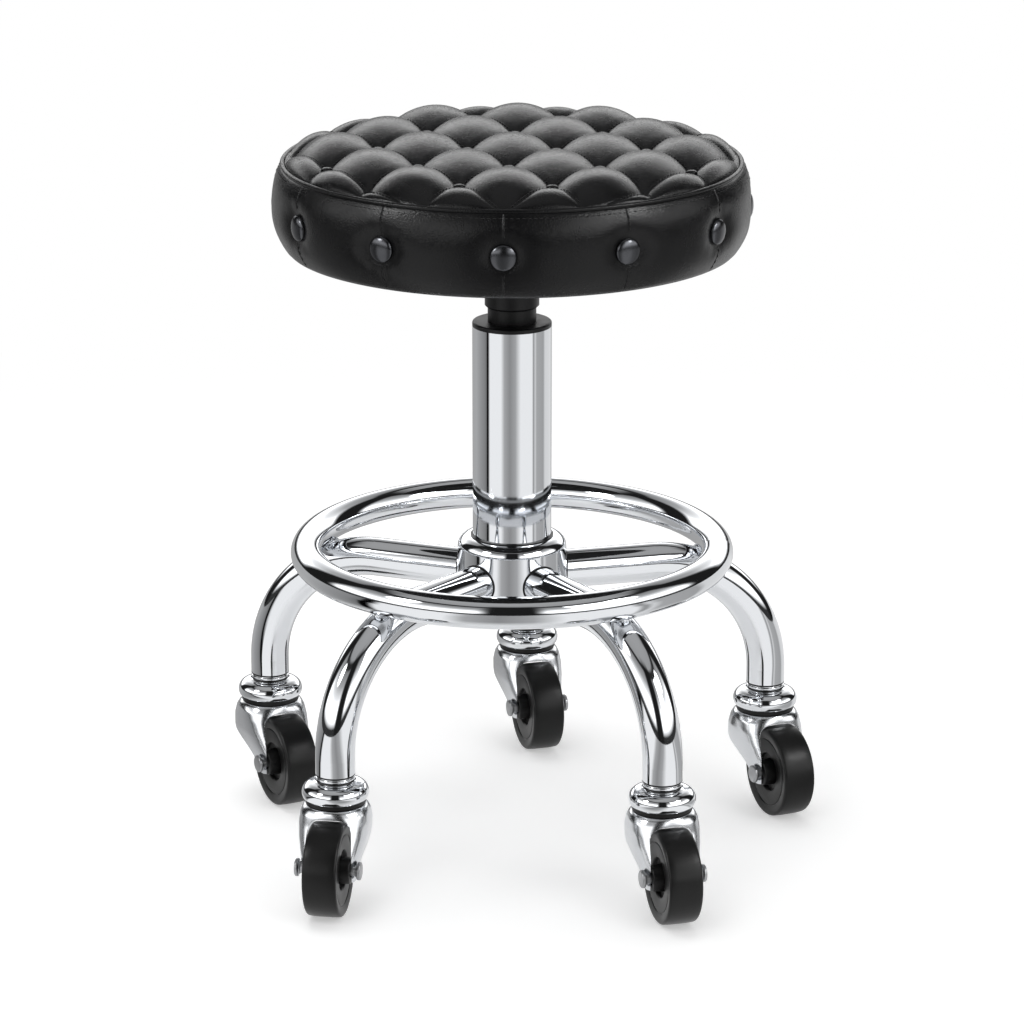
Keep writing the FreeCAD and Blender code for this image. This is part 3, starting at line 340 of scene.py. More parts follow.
# The finish that a CAD node gets by its slot.
FINISHES: dict[Slot, Finish] = {finish.slot: finish for finish in (
    CHROME, STEEL, POWDER_COAT, NYLON, TREAD, LEATHER, DARK_NICKEL, FOAM, DUST_CLOTH, PLYWOOD)}


def arc(middle: tuple[float, float], halves: tuple[float, float], span: range, steps: int) -> list[Point]:
    """Gives outline corners along an ellipse, at a span of steps of which a quarter turn has so many."""
    angles = [step * math.pi / (2 * steps) for step in span]
    return [(middle[0] + halves[0] * math.cos(angle), middle[1] + halves[1] * math.sin(angle), 0.0)
            for angle in angles]


def both_sides(side: Outline) -> list[Point]:
    """Adds an outline's mirror image below it."""
    return list(side) + [(radius, -height, rounding) for radius, height, rounding in reversed(side)]


def flat_shape(outline: Outline) -> Mesh:
    """Makes one face in the XZ plane.

    Args:
        outline: Its corners in mm, each with its rounding.

    Returns:
        The face's mesh.
    """
    bm = bmesh.new()
    corners = [bm.verts.new((across, 0.0, height)) for across, height, _ in outline]
    bm.faces.new(corners)
    for corner, (_, _, rounding) in zip(corners, outline):
        if rounding:
            bmesh.ops.bevel(bm, geom=[corner], offset=rounding, offset_type="OFFSET", segments=CORNER_STEPS,
                            profile=0.5, affect="VERTICES", material=-1, clamp_overlap=True)
    return bm


def extruded(outline: Outline, half: float) -> Mesh:
    """Extrudes an outline of X and Z both ways along Y.

    Args:
        outline: Corners in mm, each with its rounding.
        half: How far it goes each way.

    Returns:
        A closed mesh in mm.
    """
    bm = flat_shape(outline)
    moved = bmesh.ops.extrude_face_region(bm, geom=bm.faces[:])["geom"]
    bmesh.ops.translate(bm, verts=[item for item in moved if isinstance(item, bmesh.types.BMVert)],
                        vec=(0, 2 * half, 0))
    bmesh.ops.translate(bm, verts=bm.verts[:], vec=(0, -half, 0))
    face_out(bm)
    return bm


def face_out(bm: Mesh) -> None:
    """Turns all faces outward."""
    bmesh.ops.recalc_face_normals(bm, faces=bm.faces[:])


def sweep(bm: Mesh, line: list[Any], steps: int) -> None:
    """Sweeps vertices and edges once round Z."""
    bmesh.ops.spin(bm, geom=line, axis=(0, 0, 1), cent=(0, 0, 0), angle=FULL_TURN, steps=steps,
                   use_merge=True)


def turned(outline: Outline, steps: int) -> Mesh:
    """Turns an outline about Z.

    Args:
        outline: Corners of radius and height in mm, each with its rounding.
        steps: Faces round the turn.

    Returns:
        A closed mesh in mm.
    """
    bm = flat_shape(outline)
    bmesh.ops.delete(bm, geom=bm.faces[:], context="FACES_ONLY")
    on_axis = [edge for edge in bm.edges if all(abs(vert.co.x) < ON_AXIS for vert in edge.verts)]
    bmesh.ops.delete(bm, geom=on_axis, context="EDGES")
    sweep(bm, bm.verts[:] + bm.edges[:], steps)
    bmesh.ops.remove_doubles(bm, verts=bm.verts[:], dist=SAME_POINT)
    face_out(bm)
    return bm


def hoops(radius: float, levels: Iterable[float], tube: float, grid: tuple[int, int]) -> Mesh:
    """Makes round rings about Z.

    Args:
        radius: Their radius, to the middle of the section.
        levels: The height of each.
        tube: The section's radius.
        grid: Sides of the section, and faces round a ring.

    Returns:
        The rings in mm.
    """
    bm = bmesh.new()
    for level in levels:
        stand = Matrix.Translation((radius, 0, level)) @ turn_about("X", 90)
        section = bmesh.ops.create_circle(bm, segments=grid[0], radius=tube, matrix=stand)["verts"]
        sweep(bm, section + list({edge for vert in section for edge in vert.link_edges}), grid[1])
    face_out(bm)
    return bm


def join(target: Mesh, source: Mesh, matrix: Matrix) -> None:
    """Copies one mesh into another.

    Args:
        target: The mesh that grows.
        source: The mesh that is copied.
        matrix: Where the copy goes.
    """
    carrier = bpy.data.meshes.new("carrier")
    source.to_mesh(carrier)
    carrier.transform(matrix)
    target.from_mesh(carrier)
    bpy.data.meshes.remove(carrier)


def set_round(one: Mesh, place: Matrix, count: int, first_deg: float = 0.0) -> Mesh:
    """Copies a shape to even places round Z, and frees it.

    Args:
        one: The shape.
        place: Its place on the X axis.
        count: How many copies there are.
        first_deg: How far round the first stands.

    Returns:
        The copies.
    """
    group = bmesh.new()
    for step in range(count):
        turn = math.radians(first_deg) + FULL_TURN * step / count
        join(group, one, Matrix.Rotation(turn, 4, "Z") @ place)
    one.free()
    return group


def shape_object(name: str, bm: Mesh, sharp_deg: float = CRISP_DEG) -> Piece:
    """Makes an object in metres from a mesh in millimetres, and frees the mesh.

    Args:
        name: The object's name.
        bm: The mesh.
        sharp_deg: Edges that turn by more than this stay crisp.

    Returns:
        The object, linked to the scene, with its place in its mesh.
    """
    bmesh.ops.scale(bm, vec=(MM, MM, MM), verts=bm.verts[:])
    limit = math.radians(sharp_deg)
    for face in bm.faces:
        face.smooth = True
    for edge in bm.edges:
        edge.smooth = len(edge.link_faces) != 2 or edge.calc_face_angle(0.0) < limit
    mesh = bpy.data.meshes.new(name)
    bm.to_mesh(mesh)
    bm.free()
    return linked(name, mesh)


def linked(name: str, data: Any) -> Piece:
    """Puts a mesh, a light or a camera in the scene.

    Args:
        name: The object's name.
        data: What it holds.

    Returns:
        The object.
    """
    piece = bpy.data.objects.new(name, data)
    bpy.context.scene.collection.objects.link(piece)
    return piece


def settle(piece: Piece, finish: Finish, body: str, stands_for: Iterable[str] = ()) -> None:
    """Gives a piece its finish and its body.

    Args:
        piece: The object.
        finish: Its material, which knows its slot.
        body: The body that it rides on.
        stands_for: CAD nodes that it replaces.
    """
    piece.data.materials.clear()
    piece.data.materials.append(finish.material())
    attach(piece, body)
    if stands_for:
        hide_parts(*stands_for)
    LOG.info("%s: %d faces, %s, on %s", piece.name, len(piece.data.polygons), finish.title, body)


def apply_modifiers(piece: Piece) -> None:
    """Turns a piece's modifiers into its own mesh.

    Args:
        piece: The object.
    """
    graph = bpy.context.evaluated_depsgraph_get()
    mesh = bpy.data.meshes.new_from_object(piece.evaluated_get(graph))
    piece.modifiers.clear()
    old = piece.data
    piece.data = mesh
    bpy.data.meshes.remove(old)


def carve(piece: Piece, cutters: Iterable[tuple[Mesh, str]]) -> None:
    """Cuts a piece with other shapes and keeps the result.

    Args:
        piece: The object in metres.
        cutters: Meshes in mm, each with DIFFERENCE or INTERSECT.
    """
    tools = []
    for number, (cutter, operation) in enumerate(cutters):
        tool = shape_object(f"cutter_{number}", cutter)
        cut = piece.modifiers.new(tool.name, "BOOLEAN")
        cut.operation = operation
        cut.object = tool
        cut.solver = "EXACT"
        tools.append(tool)
    apply_modifiers(piece)
    for tool in tools:
        bpy.data.objects.remove(tool)


def stitch(length: float, thickness: float) -> Mesh:
    """Makes one stitch along X: a short thread that dips and narrows at both ends.

    Args:
        length: The stitch's length.
        thickness: The thread's thickness.

    Returns:
        The stitch in mm.
    """
    dip, narrow = 0.6, 0.5
    bm = bmesh.new()
    bmesh.ops.create_cube(bm, size=1.0)
    bmesh.ops.scale(bm, vec=(length, thickness, thickness), verts=bm.verts[:])
    long_edges = [edge for edge in bm.edges if abs(edge.verts[0].co.x - edge.verts[1].co.x) > length / 2]
    bmesh.ops.subdivide_edges(bm, edges=long_edges, cuts=1)
    for vert in bm.verts:
        if abs(vert.co.x) > length / 4:
            vert.co.z -= thickness * dip
            vert.co.y *= narrow
    return bm


def sew(name: str, surface: Piece, marks: Iterable[Mark], thickness: float) -> Piece:
    """Lays stitches on a cover.

    Args:
        name: The piece's name.
        surface: The cover in metres.
        marks: For each stitch, where it is aimed from in mm, which way, and its heading.
        thickness: The thread's thickness.

    Returns:
        All the stitches as one object.
    """
    tree = BVHTree.FromObject(surface, bpy.context.evaluated_depsgraph_get())
    one = stitch(STITCH_LENGTH, thickness)
    bm = bmesh.new()
    for start, aim, heading in marks:
        hit, normal, _, _ = tree.ray_cast(start * MM, aim)
        if hit is None:
            continue
        flat = (heading - normal * heading.dot(normal)).normalized()
        turn = Matrix((flat, normal.cross(flat), normal)).transposed().to_4x4()
        join(bm, one, Matrix.Translation(hit / MM + normal * STITCH_LIFT) @ turn)
    one.free()
    return shape_object(name, bm)


@dataclass
class TuftedTop:
    """The cushion's top: leather drawn down into diamonds at covered buttons."""

    tuft_width: float = 64.8
    tuft_length: float = 119.0
    base: float = 517.9
    crown: float = 0.6
    crown_radius: float = 175.0
    floor: float = 510.8
    rim_radius: float = 164.7
    rim_start: float = 136.0
    slope_start: float = 112.0
    slope_drop: float = 4.5
    slope_power: float = 1.5
    rim_wall: float = 512.2
    fullness: float = 12.2
    bulge: float = 2.1
    crease_depth: float = 1.6
    crease_width: float = 1.9
    cell_steps: int = 28
    # The part of a grid step within which a vertex counts as sewn.
    sewn_share: float = 0.4
    swell_cap: float = 3.2
    # Settings of the cloth that pressure fills.
    cloth: tuple[tuple[str, float], ...] = (
        ("quality", 5), ("mass", 0.4), ("tension_stiffness", 30), ("compression_stiffness", 30),
        ("bending_stiffness", 2), ("use_pressure", True), ("uniform_pressure_force", 4))
    cloth_frames: int = 20
    button_seat: float = 1.8
    button_reach: float = 5.0
    button_radius: float = 4.0
    button_lift: float = 3.4
    button_margin: float = 15.0
    # Share of the button's radius, height and rounding, from its underside up.
    button_section: Outline = (
        (0.0, -2.0, 0.0), (1.0, -2.0, 0.0), (1.0, 0.5, 0.4), (0.75, 1.4, 1.0), (0.0, 1.8, 0.0))
    button_steps: int = 24
    stitch_beside: float = 1.3
    stitch_margin: float = 4.0
    stitch_skip: int = 2
    stitch_drop: float = 60.0
    thread: float = 0.42

    def cell(self, x: float, y: float) -> tuple[float, float]:
        """Finds a point's place in its diamond.

        Args:
            x: Place on the flat cover.
            y: Place on the flat cover.

        Returns:
            How far it is from the diamond's middle, each way from -0.5 to 0.5.
        """
        along = x / self.tuft_width + y / self.tuft_length
        across = y / self.tuft_length - x / self.tuft_width
        return along - round(along), across - round(across)

    def off_button(self, along: float, across: float) -> float:
        """Gives 0 at a diamond's corner, where a button sits, and 1 past the button's reach."""
        corner = math.hypot(0.5 - abs(along), 0.5 - abs(across)) * self.tuft_width
        return clamped((corner - self.button_seat) / self.button_reach)

    def rim_plan(self, flat: float) -> float:
        """Rolls the cover's edge down.

        Args:
            flat: How far the leather lies from the centre when flat.

        Returns:
            Its radius in plan.
        """
        if flat <= self.rim_start:
            return flat
        roll = self.rim_radius - self.rim_start
        return self.rim_start + roll * math.sin(min((flat - self.rim_start) / roll, math.pi / 2))

    @property
    def flat_radius(self) -> float:
        """The cover's radius before its edge is rolled down."""
        return self.rim_start + (self.rim_radius - self.rim_start) * math.pi / 2

    def level(self, x: float, y: float) -> float:
        """Gives the height of the sewn cover.

        Args:
            x: Place on the flat cover.
            y: Place on the flat cover.

        Returns:
            The height in mm; the whole quilt rolls down to the welt at its edge.
        """
        along, across = self.cell(x, y)
        flat = math.hypot(x, y)
        plan = self.rim_plan(flat)
        swell = 2.0 - abs(2 * along) ** self.bulge - abs(2 * across) ** self.bulge
        edge_mm = (0.5 - max(abs(along), abs(across))) * self.tuft_width * self.tuft_length
        edge_mm /= math.hypot(self.tuft_width, self.tuft_length)
        height = self.base + self.crown * (1 - (plan / self.crown_radius) ** 2)
        climb = self.off_button(along, across)
        height += self.fullness / 2 * swell * climb * (2 - climb)
        height -= self.crease_depth * math.exp(-((edge_mm / self.crease_width) ** 2))
        slope = clamped((plan - self.slope_start) / (self.rim_radius - self.slope_start))
        height -= self.slope_drop * slope ** self.slope_power
        roll = (flat - self.rim_start) / (self.rim_radius - self.rim_start)
        return self.rim_wall + (height - self.rim_wall) * math.cos(min(max(roll, 0.0), math.pi / 2))

    def cover_mesh(self) -> tuple[Mesh, list[float]]:
        """Lays a cover, gridded along its diamonds, over the cushion.

        Returns:
            The mesh in mm, and how freely each vertex may move, from 0 at the stitching to 1.
        """
        half_width, half_length = self.tuft_width / 2, self.tuft_length / 2
        cells = math.ceil(self.flat_radius * (1 / self.tuft_width + 1 / self.tuft_length)) + 1
        segments = 2 * cells * self.cell_steps
        bm = bmesh.new()
        bmesh.ops.create_grid(bm, x_segments=segments, y_segments=segments, size=cells)
        shear = Matrix(((half_width, -half_width, 0, 0), (half_length, half_length, 0, 0),
                        (0, 0, 1, 0), (0, 0, 0, 1)))
        bmesh.ops.transform(bm, matrix=shear, verts=bm.verts[:])
        outside = [vert for vert in bm.verts if vert.co.length > self.flat_radius]
        bmesh.ops.delete(bm, geom=outside, context="VERTS")
        bm.verts.index_update()
        freedom = []
        for vert in bm.verts:
            x, y = vert.co.x, vert.co.y
            along, across = self.cell(x, y)
            in_crease = max(abs(along), abs(across)) > 0.5 - self.sewn_share / self.cell_steps
            freedom.append(0.0 if in_crease or vert.is_boundary else self.off_button(along, across))
            flat = max(math.hypot(x, y), ON_AXIS)
            if vert.is_boundary:
                x *= self.flat_radius / flat
                y *= self.flat_radius / flat
                flat = self.flat_radius
            scale = self.rim_plan(flat) / flat
            vert.co = Vector((x * scale, y * scale, self.level(x, y)))
        return bm, freedom

    def swell(self, piece: Piece, freedom: Sequence[float]) -> None:
        """Fills the cover with pressure while its stitching is held, and keeps the result.

        Args:
            piece: The cover in metres.
            freedom: How freely each vertex may move, from 0 to 1.
        """
        start = [vert.co.copy() for vert in piece.data.vertices]
        group = piece.vertex_groups.new(name="stitching")
        group.add([number for number, free in enumerate(freedom) if free == 0.0], 1.0, "REPLACE")
        filling = piece.modifiers.new("filling", "CLOTH")
        for name, value in self.cloth:
            setattr(filling.settings, name, value)
        filling.settings.vertex_group_mass = group.name
        filling.settings.effector_weights.gravity = 0
        filling.collision_settings.use_collision = False
        filling.point_cache.frame_start = 1
        filling.point_cache.frame_end = self.cloth_frames
        scene = bpy.context.scene
        for number in range(1, self.cloth_frames + 1):
            scene.frame_set(number)
        apply_modifiers(piece)
        scene.frame_set(1)
        for vert, before, free in zip(piece.data.vertices, start, freedom):
            step = vert.co - before
            cap = self.swell_cap * MM * free
            if step.length > cap:
                vert.co = before + step * (cap / step.length)
        piece.vertex_groups.clear()

    def close_under(self, piece: Piece) -> None:
        """Turns the cover's edge down to the band and closes it underneath.

        Args:
            piece: The cover in metres.
        """
        bm = bmesh.new()
        bm.from_mesh(piece.data)
        rim = [edge for edge in bm.edges if edge.is_boundary]
        hem = bmesh.ops.extrude_edge_only(bm, edges=rim)["geom"]
        for vert in (item for item in hem if isinstance(item, bmesh.types.BMVert)):
            vert.co.z = self.floor * MM
        bmesh.ops.holes_fill(bm, edges=[edge for edge in bm.edges if edge.is_boundary], sides=0)
        face_out(bm)
        for face in bm.faces:
            face.smooth = True
        bm.to_mesh(piece.data)
        bm.free()

    def corners(self, reach: float) -> list[tuple[float, float]]:
        """Lists the diamonds' corners on the flat cover.

        Args:
            reach: How far from the middle they go.

        Returns:
            Their places.
        """
        count = math.ceil(2 * reach / self.tuft_width) + 1
        both_ways = [(self.tuft_width / 2 * across, self.tuft_length / 2 * along)
                     for across in range(-count, count + 1) for along in range(-count, count + 1)
                     if (across + along) % 2]
        return [(x, y) for x, y in both_ways if math.hypot(x, y) < reach]

    def crease_marks(self) -> list[Mark]:
        """Marks the stitches beside the creases, down onto the turned cover.

        Returns:
            The marks along every side of the diamonds, each side once.
        """
        sides = [(Vector((x, y, 0)), Vector((self.tuft_width / 2 * way, self.tuft_length / 2, 0)))
                 for x, y in self.corners(self.flat_radius + self.tuft_length) for way in (-1, 1)]
        marks = []
        for first, run in sides:
            heading = run.normalized()
            aside = Vector((-heading.y, heading.x, 0)) * math.copysign(self.stitch_beside, heading.x)
            for step in range(self.stitch_skip, int(run.length / STITCH_PITCH) - self.stitch_skip + 1):
                place = first + heading * (step + 0.5) * STITCH_PITCH + aside
                place *= self.rim_plan(place.length) / place.length
                if place.length < self.rim_radius - self.stitch_margin:
                    start = Vector((place.x, place.y, self.base + self.stitch_drop))
                    marks.append((SEAT_TURN @ start, Vector((0, 0, -1)), SEAT_TURN @ heading))
        return marks

    def buttons(self) -> Mesh:
        """Makes the covered buttons, low domes on a drawn-in rim, at all corners but those by the edge.

        Returns:
            The buttons in mm.
        """
        dome = turned([(share * self.button_radius, height, rounding)
                       for share, height, rounding in self.button_section], self.button_steps)
        group = bmesh.new()
        for x, y in self.corners(self.rim_radius - self.button_margin):
            scale = self.rim_plan(math.hypot(x, y)) / math.hypot(x, y)
            level = self.level(x, y) + self.button_lift
            join(group, dome, Matrix.Translation((x * scale, y * scale, level)))
        dome.free()
        return group

    def build(self) -> None:
        """Builds the cover, its buttons and its sewn creases."""
        bm, freedom = self.cover_mesh()
        cover = shape_object("tufted_cover", bm, ALL_SMOOTH_DEG)
        self.swell(cover, freedom)
        self.close_under(cover)
        cover.data.transform(SEAT_TURN)
        settle(cover, LEATHER, Body.SEAT.value, ["tufted_top"])
        buttons = shape_object("cover_buttons", self.buttons())
        buttons.data.transform(SEAT_TURN)
        settle(buttons, LEATHER, Body.SEAT.value, ["tuft_buttons"])
        settle(sew("crease_stitching", cover, self.crease_marks(), self.thread), THREAD, Body.SEAT.value)


@dataclass
class SideBand:
    """The leather band round the seat, with its welt, studs, sewn seams and stitching."""

    seat_radius: float = 175.0
    low_radius: float = 165.4
    top_radius: float = 168.2
    inner_radius: float = 158.0
    bottom: float = 450.4
    hem: float = 452.4
    hem_tuck: float = 2.0
    bulge: float = 483.4
    bulge_power: float = 2.2
    top: float = 510.8
    # How the band's upper edge turns in under the welt.
    top_round: float = 0.5
    top_rise: float = 0.7
    lining: float = 1.0
    rows: int = 22
    steps: int = 720
    crisp_deg: float = 60.0
    stud_level: float = 481.0
    stud_count: int = 12
    stud_radius: float = 9.5
    stud_seat: float = 171.2
    stud_sink: float = 0.4
    stud_rim: float = 0.8
    stud_dome: float = 3.7
    stud_rows: int = 10
    stud_steps: int = 48
    dimple_floor: float = 10.4
    dimple_reach: float = 36.0
    dimple_power: float = 3.4
    # Small folds that fan out round each stud.
    fold_depth: float = 0.45
    fold_count: int = 9
    fold_ring: float = 15.0
    fold_width: float = 5.0
    # Slow unevenness of hand-drawn leather.
    slack_depth: float = 0.4
    slack_mm: float = 26.0
    slack_flatten: float = 1.6
    # How far from the hem and from the welt the leather is held even.
    hem_hold: float = 6.0
    top_hold: float = 4.0
    seam_depth: float = 0.9
    seam_held: float = 0.4
    seam_width: float = 0.42
    # Draws the mesh's columns together at the seams.
    seam_crowding: float = 0.91
    welt_circle: float = 166.4
    welt_radius: float = 1.75
    welt_level: float = 512.4
    welt_grid: tuple[int, int] = (20, 240)
    stitch_start: float = 30.0
    stitch_below: float = 2.6
    stitch_beside: float = 0.9
    stitch_clear: float = 1.5
    stitch_margin: float = 5.0
    thread: float = 0.5

    def outline(self) -> list[Point]:
        """Draws the band's section from its hem up to the welt.

        Returns:
            Corners of radius and height.
        """
        halves = []
        for low, end in ((self.hem, self.low_radius), (self.top, self.top_radius)):
            shares = [row / self.rows for row in range(self.rows + 1)]
            halves.append([(self.seat_radius - (self.seat_radius - end) * (1 - share) ** self.bulge_power,
                            low + (self.bulge - low) * share, 0.0) for share in shares])
        return halves[0] + halves[1][-2::-1]

    def drawn_in(self, place: Vector, radius: float, angle: float) -> float:
        """Works out how far studs, seams and slack draw the leather in.

        Args:
            place: A point of the plain band.
            radius: Its distance from the axis.
            angle: Where it goes round the axis.

        Returns:
            How far it moves towards the axis.
        """
        pitch = FULL_TURN / self.stud_count
        around = ((angle + pitch / 2) % pitch - pitch / 2) * self.seat_radius
        up = place.z - self.stud_level
        away = math.hypot(around, up)
        share = clamped((away - self.dimple_floor) / (self.dimple_reach - self.dimple_floor))
        pull = max(radius - self.stud_seat, 0.0) * (1 - share) ** self.dimple_power
        fan = math.cos(self.fold_count * math.atan2(up, around))
        near_ring = math.exp(-(((away - self.fold_ring) / self.fold_width) ** 2))
        folds = self.fold_depth * share * fan * near_ring
        seam = self.seam_depth * share * math.exp(-((around / self.seam_width) ** 2))
        drift = noise.noise(Vector((place.x, place.y, place.z * self.slack_flatten)) / self.slack_mm)
        slack = self.slack_depth * share * drift
        edge = clamped((place.z - self.bottom) / self.hem_hold)
        edge *= clamped((self.top - place.z) / self.top_hold)
        return pull + seam * (self.seam_held + (1 - self.seam_held) * edge) + (folds + slack) * edge

    def band_mesh(self) -> Mesh:
        """Turns the section and draws it in at the studs and seams.

        Returns:
            The band in mm.
        """
        corners = [(self.inner_radius, self.top, 0), (self.inner_radius, self.bottom, 0),
                   (self.low_radius - self.hem_tuck, self.bottom, 0)]
        rim = [(self.top_radius - self.top_round, self.top + self.top_round, 0),
               (self.welt_circle, self.top + self.top_rise, 0)]
        bm = turned(corners + self.outline() + rim, self.steps)
        for vert in bm.verts:
            radius = math.hypot(vert.co.x, vert.co.y)
            if radius < self.inner_radius + self.lining:
                continue
            angle = math.atan2(vert.co.y, vert.co.x)
            angle -= self.seam_crowding / self.stud_count * math.sin(self.stud_count * angle)
            inward = self.drawn_in(vert.co, radius, angle)
            vert.co.x = (radius - inward) * math.cos(angle)
            vert.co.y = (radius - inward) * math.sin(angle)
        return bm

    def stitch_marks(self) -> list[Mark]:
        """Marks the stitches just under the welt, and those beside each seam, in towards the axis.

        Returns:
            The marks, turned with the seat.
        """
        start = self.seat_radius + self.stitch_start
        up = Vector((0, 0, 1))
        marks = []
        count = round(FULL_TURN * self.seat_radius / STITCH_PITCH)
        for step in range(count):
            out = level_way(FULL_TURN * step / count)
            marks.append((out * start + up * (self.top - self.stitch_below), -out, up.cross(out)))
        for seam in range(self.stud_count):
            out = level_way(FULL_TURN * seam / self.stud_count + self.stitch_beside / self.seat_radius)
            for step in range(int((self.top - self.hem) / STITCH_PITCH)):
                level = self.hem + (step + 0.5) * STITCH_PITCH
                off_stud = abs(level - self.stud_level) > self.dimple_floor + self.stitch_clear
                if off_stud and level < self.top - self.stitch_margin:
                    marks.append((out * start + up * level, -out, up))
        return [(SEAT_TURN @ place, SEAT_TURN @ aim, SEAT_TURN @ heading) for place, aim, heading in marks]

    def studs(self) -> Mesh:
        """Makes the pressed domes, each on its own rim.

        Returns:
            The studs in mm.
        """
        dome = arc((0.0, self.stud_rim), (self.stud_radius, self.stud_dome), range(self.stud_rows),
                   self.stud_rows)
        foot = [(0, 0, 0), (self.stud_radius, 0, 0)]
        stud = turned(foot + dome + [(0, self.stud_rim + self.stud_dome, 0)], self.stud_steps)
        seat = Matrix.Translation((self.stud_seat - self.stud_sink, 0, self.stud_level))
        return set_round(stud, seat @ turn_about("Y", 90), self.stud_count)

    def build(self) -> None:
        """Builds the band, welt, studs and stitching."""
        band = shape_object("leather_band", self.band_mesh(), self.crisp_deg)
        band.data.transform(SEAT_TURN)
        settle(band, LEATHER, Body.SEAT.value, ["side_band"])
        cord = hoops(self.welt_circle, [self.welt_level], self.welt_radius, self.welt_grid)
        settle(shape_object("welt_cord", cord, ALL_SMOOTH_DEG), LEATHER, Body.SEAT.value, ["welt"])
        studs = shape_object("band_studs", self.studs())
        studs.data.transform(SEAT_TURN)
        settle(studs, DARK_NICKEL, Body.SEAT.value, ["side_studs"])
        settle(sew("band_stitching", band, self.stitch_marks(), self.thread), THREAD, Body.SEAT.value)


@dataclass
class LegJoints:
    """What each leg shows where it is joined: a dark bead at the hub, painted shade for the shadow line where
    the leg enters it, and a small weld at the foot ring.
    """

    leg_count: int = 5
    first_leg_deg: float = 90.0
    leg_level: float = 199.8
    leg_radius: float = 14.4
    hub_radius: float = 41.2
    bead: float = 0.55
    bead_sides: int = 10
    bead_steps: int = 64
    weld_out: float = 148.2
    weld_level: float = 206.8
    weld_lean_deg: float = 21.7
    # Half sizes along the leg, along the ring and through the joint.
    weld_halves: Point = (6.8, 7.4, 1.75)
    weld_grid: tuple[int, int] = (84, 16)
    weld_ripple: float = 0.05
    ripple_count: int = 14

    def bead_ring(self) -> Mesh:
        """Sweeps a bead along the line where a leg along X meets the hub.

        Returns:
            The bead in mm.
        """
        seat = self.leg_radius + self.bead / 2
        bm = bmesh.new()
        rings = []
        for step in range(self.bead_steps):
            turn = FULL_TURN * step / self.bead_steps
            aside = seat * math.cos(turn)
            out = math.sqrt(self.hub_radius ** 2 - aside ** 2)
            place = Matrix.Translation((out, aside, self.leg_level + seat * math.sin(turn)))
            ring = bmesh.ops.create_circle(bm, segments=self.bead_sides, radius=self.bead,
                                           matrix=place @ Matrix.Rotation(turn, 4, "X"))["verts"]
            rings.append({edge for vert in ring for edge in vert.link_edges})
        for first, second in zip(rings, rings[1:] + rings[:1]):
            bmesh.ops.bridge_loops(bm, edges=list(first | second))
        face_out(bm)
        return bm

    def weld(self) -> Mesh:
        """Makes a weld at the origin: a thin lens, rippled round its edge.

        Returns:
            The weld in mm.
        """
        bm = bmesh.new()
        around, down = self.weld_grid
        bmesh.ops.create_uvsphere(bm, u_segments=around, v_segments=down, radius=1.0)
        for vert in bm.verts:
            ripple = 1 + self.weld_ripple * math.cos(self.ripple_count * math.atan2(vert.co.y, vert.co.x))
            vert.co = Vector([part * half * ripple for part, half in zip(vert.co, self.weld_halves)])
        return bm

    def build(self) -> None:
        """Builds the bead and the weld of every leg."""
        beads = set_round(self.bead_ring(), Matrix(), self.leg_count, self.first_leg_deg)
        # The black beads are painted shade: they stand for the thin shadow line where each leg enters the
        # hub.
        settle(shape_object("hub_shadow_beads", beads, ALL_SMOOTH_DEG), POWDER_COAT, Body.BASE.value)
        seat = Matrix.Translation((self.weld_out, 0, self.weld_level)) @ turn_about("Y", self.weld_lean_deg)
        welds = shape_object("ring_weld_beads", set_round(
            self.weld(), seat, self.leg_count, self.first_leg_deg), ALL_SMOOTH_DEG)
        settle(welds, CHROME, Body.BASE.value, ["ring_welds"])


@dataclass(frozen=True)
class CasterPlace:
    """Where a caster stands: its leg's direction, and how far the caster has swivelled."""

    name: str
    leg_deg: float
    heading_deg: float


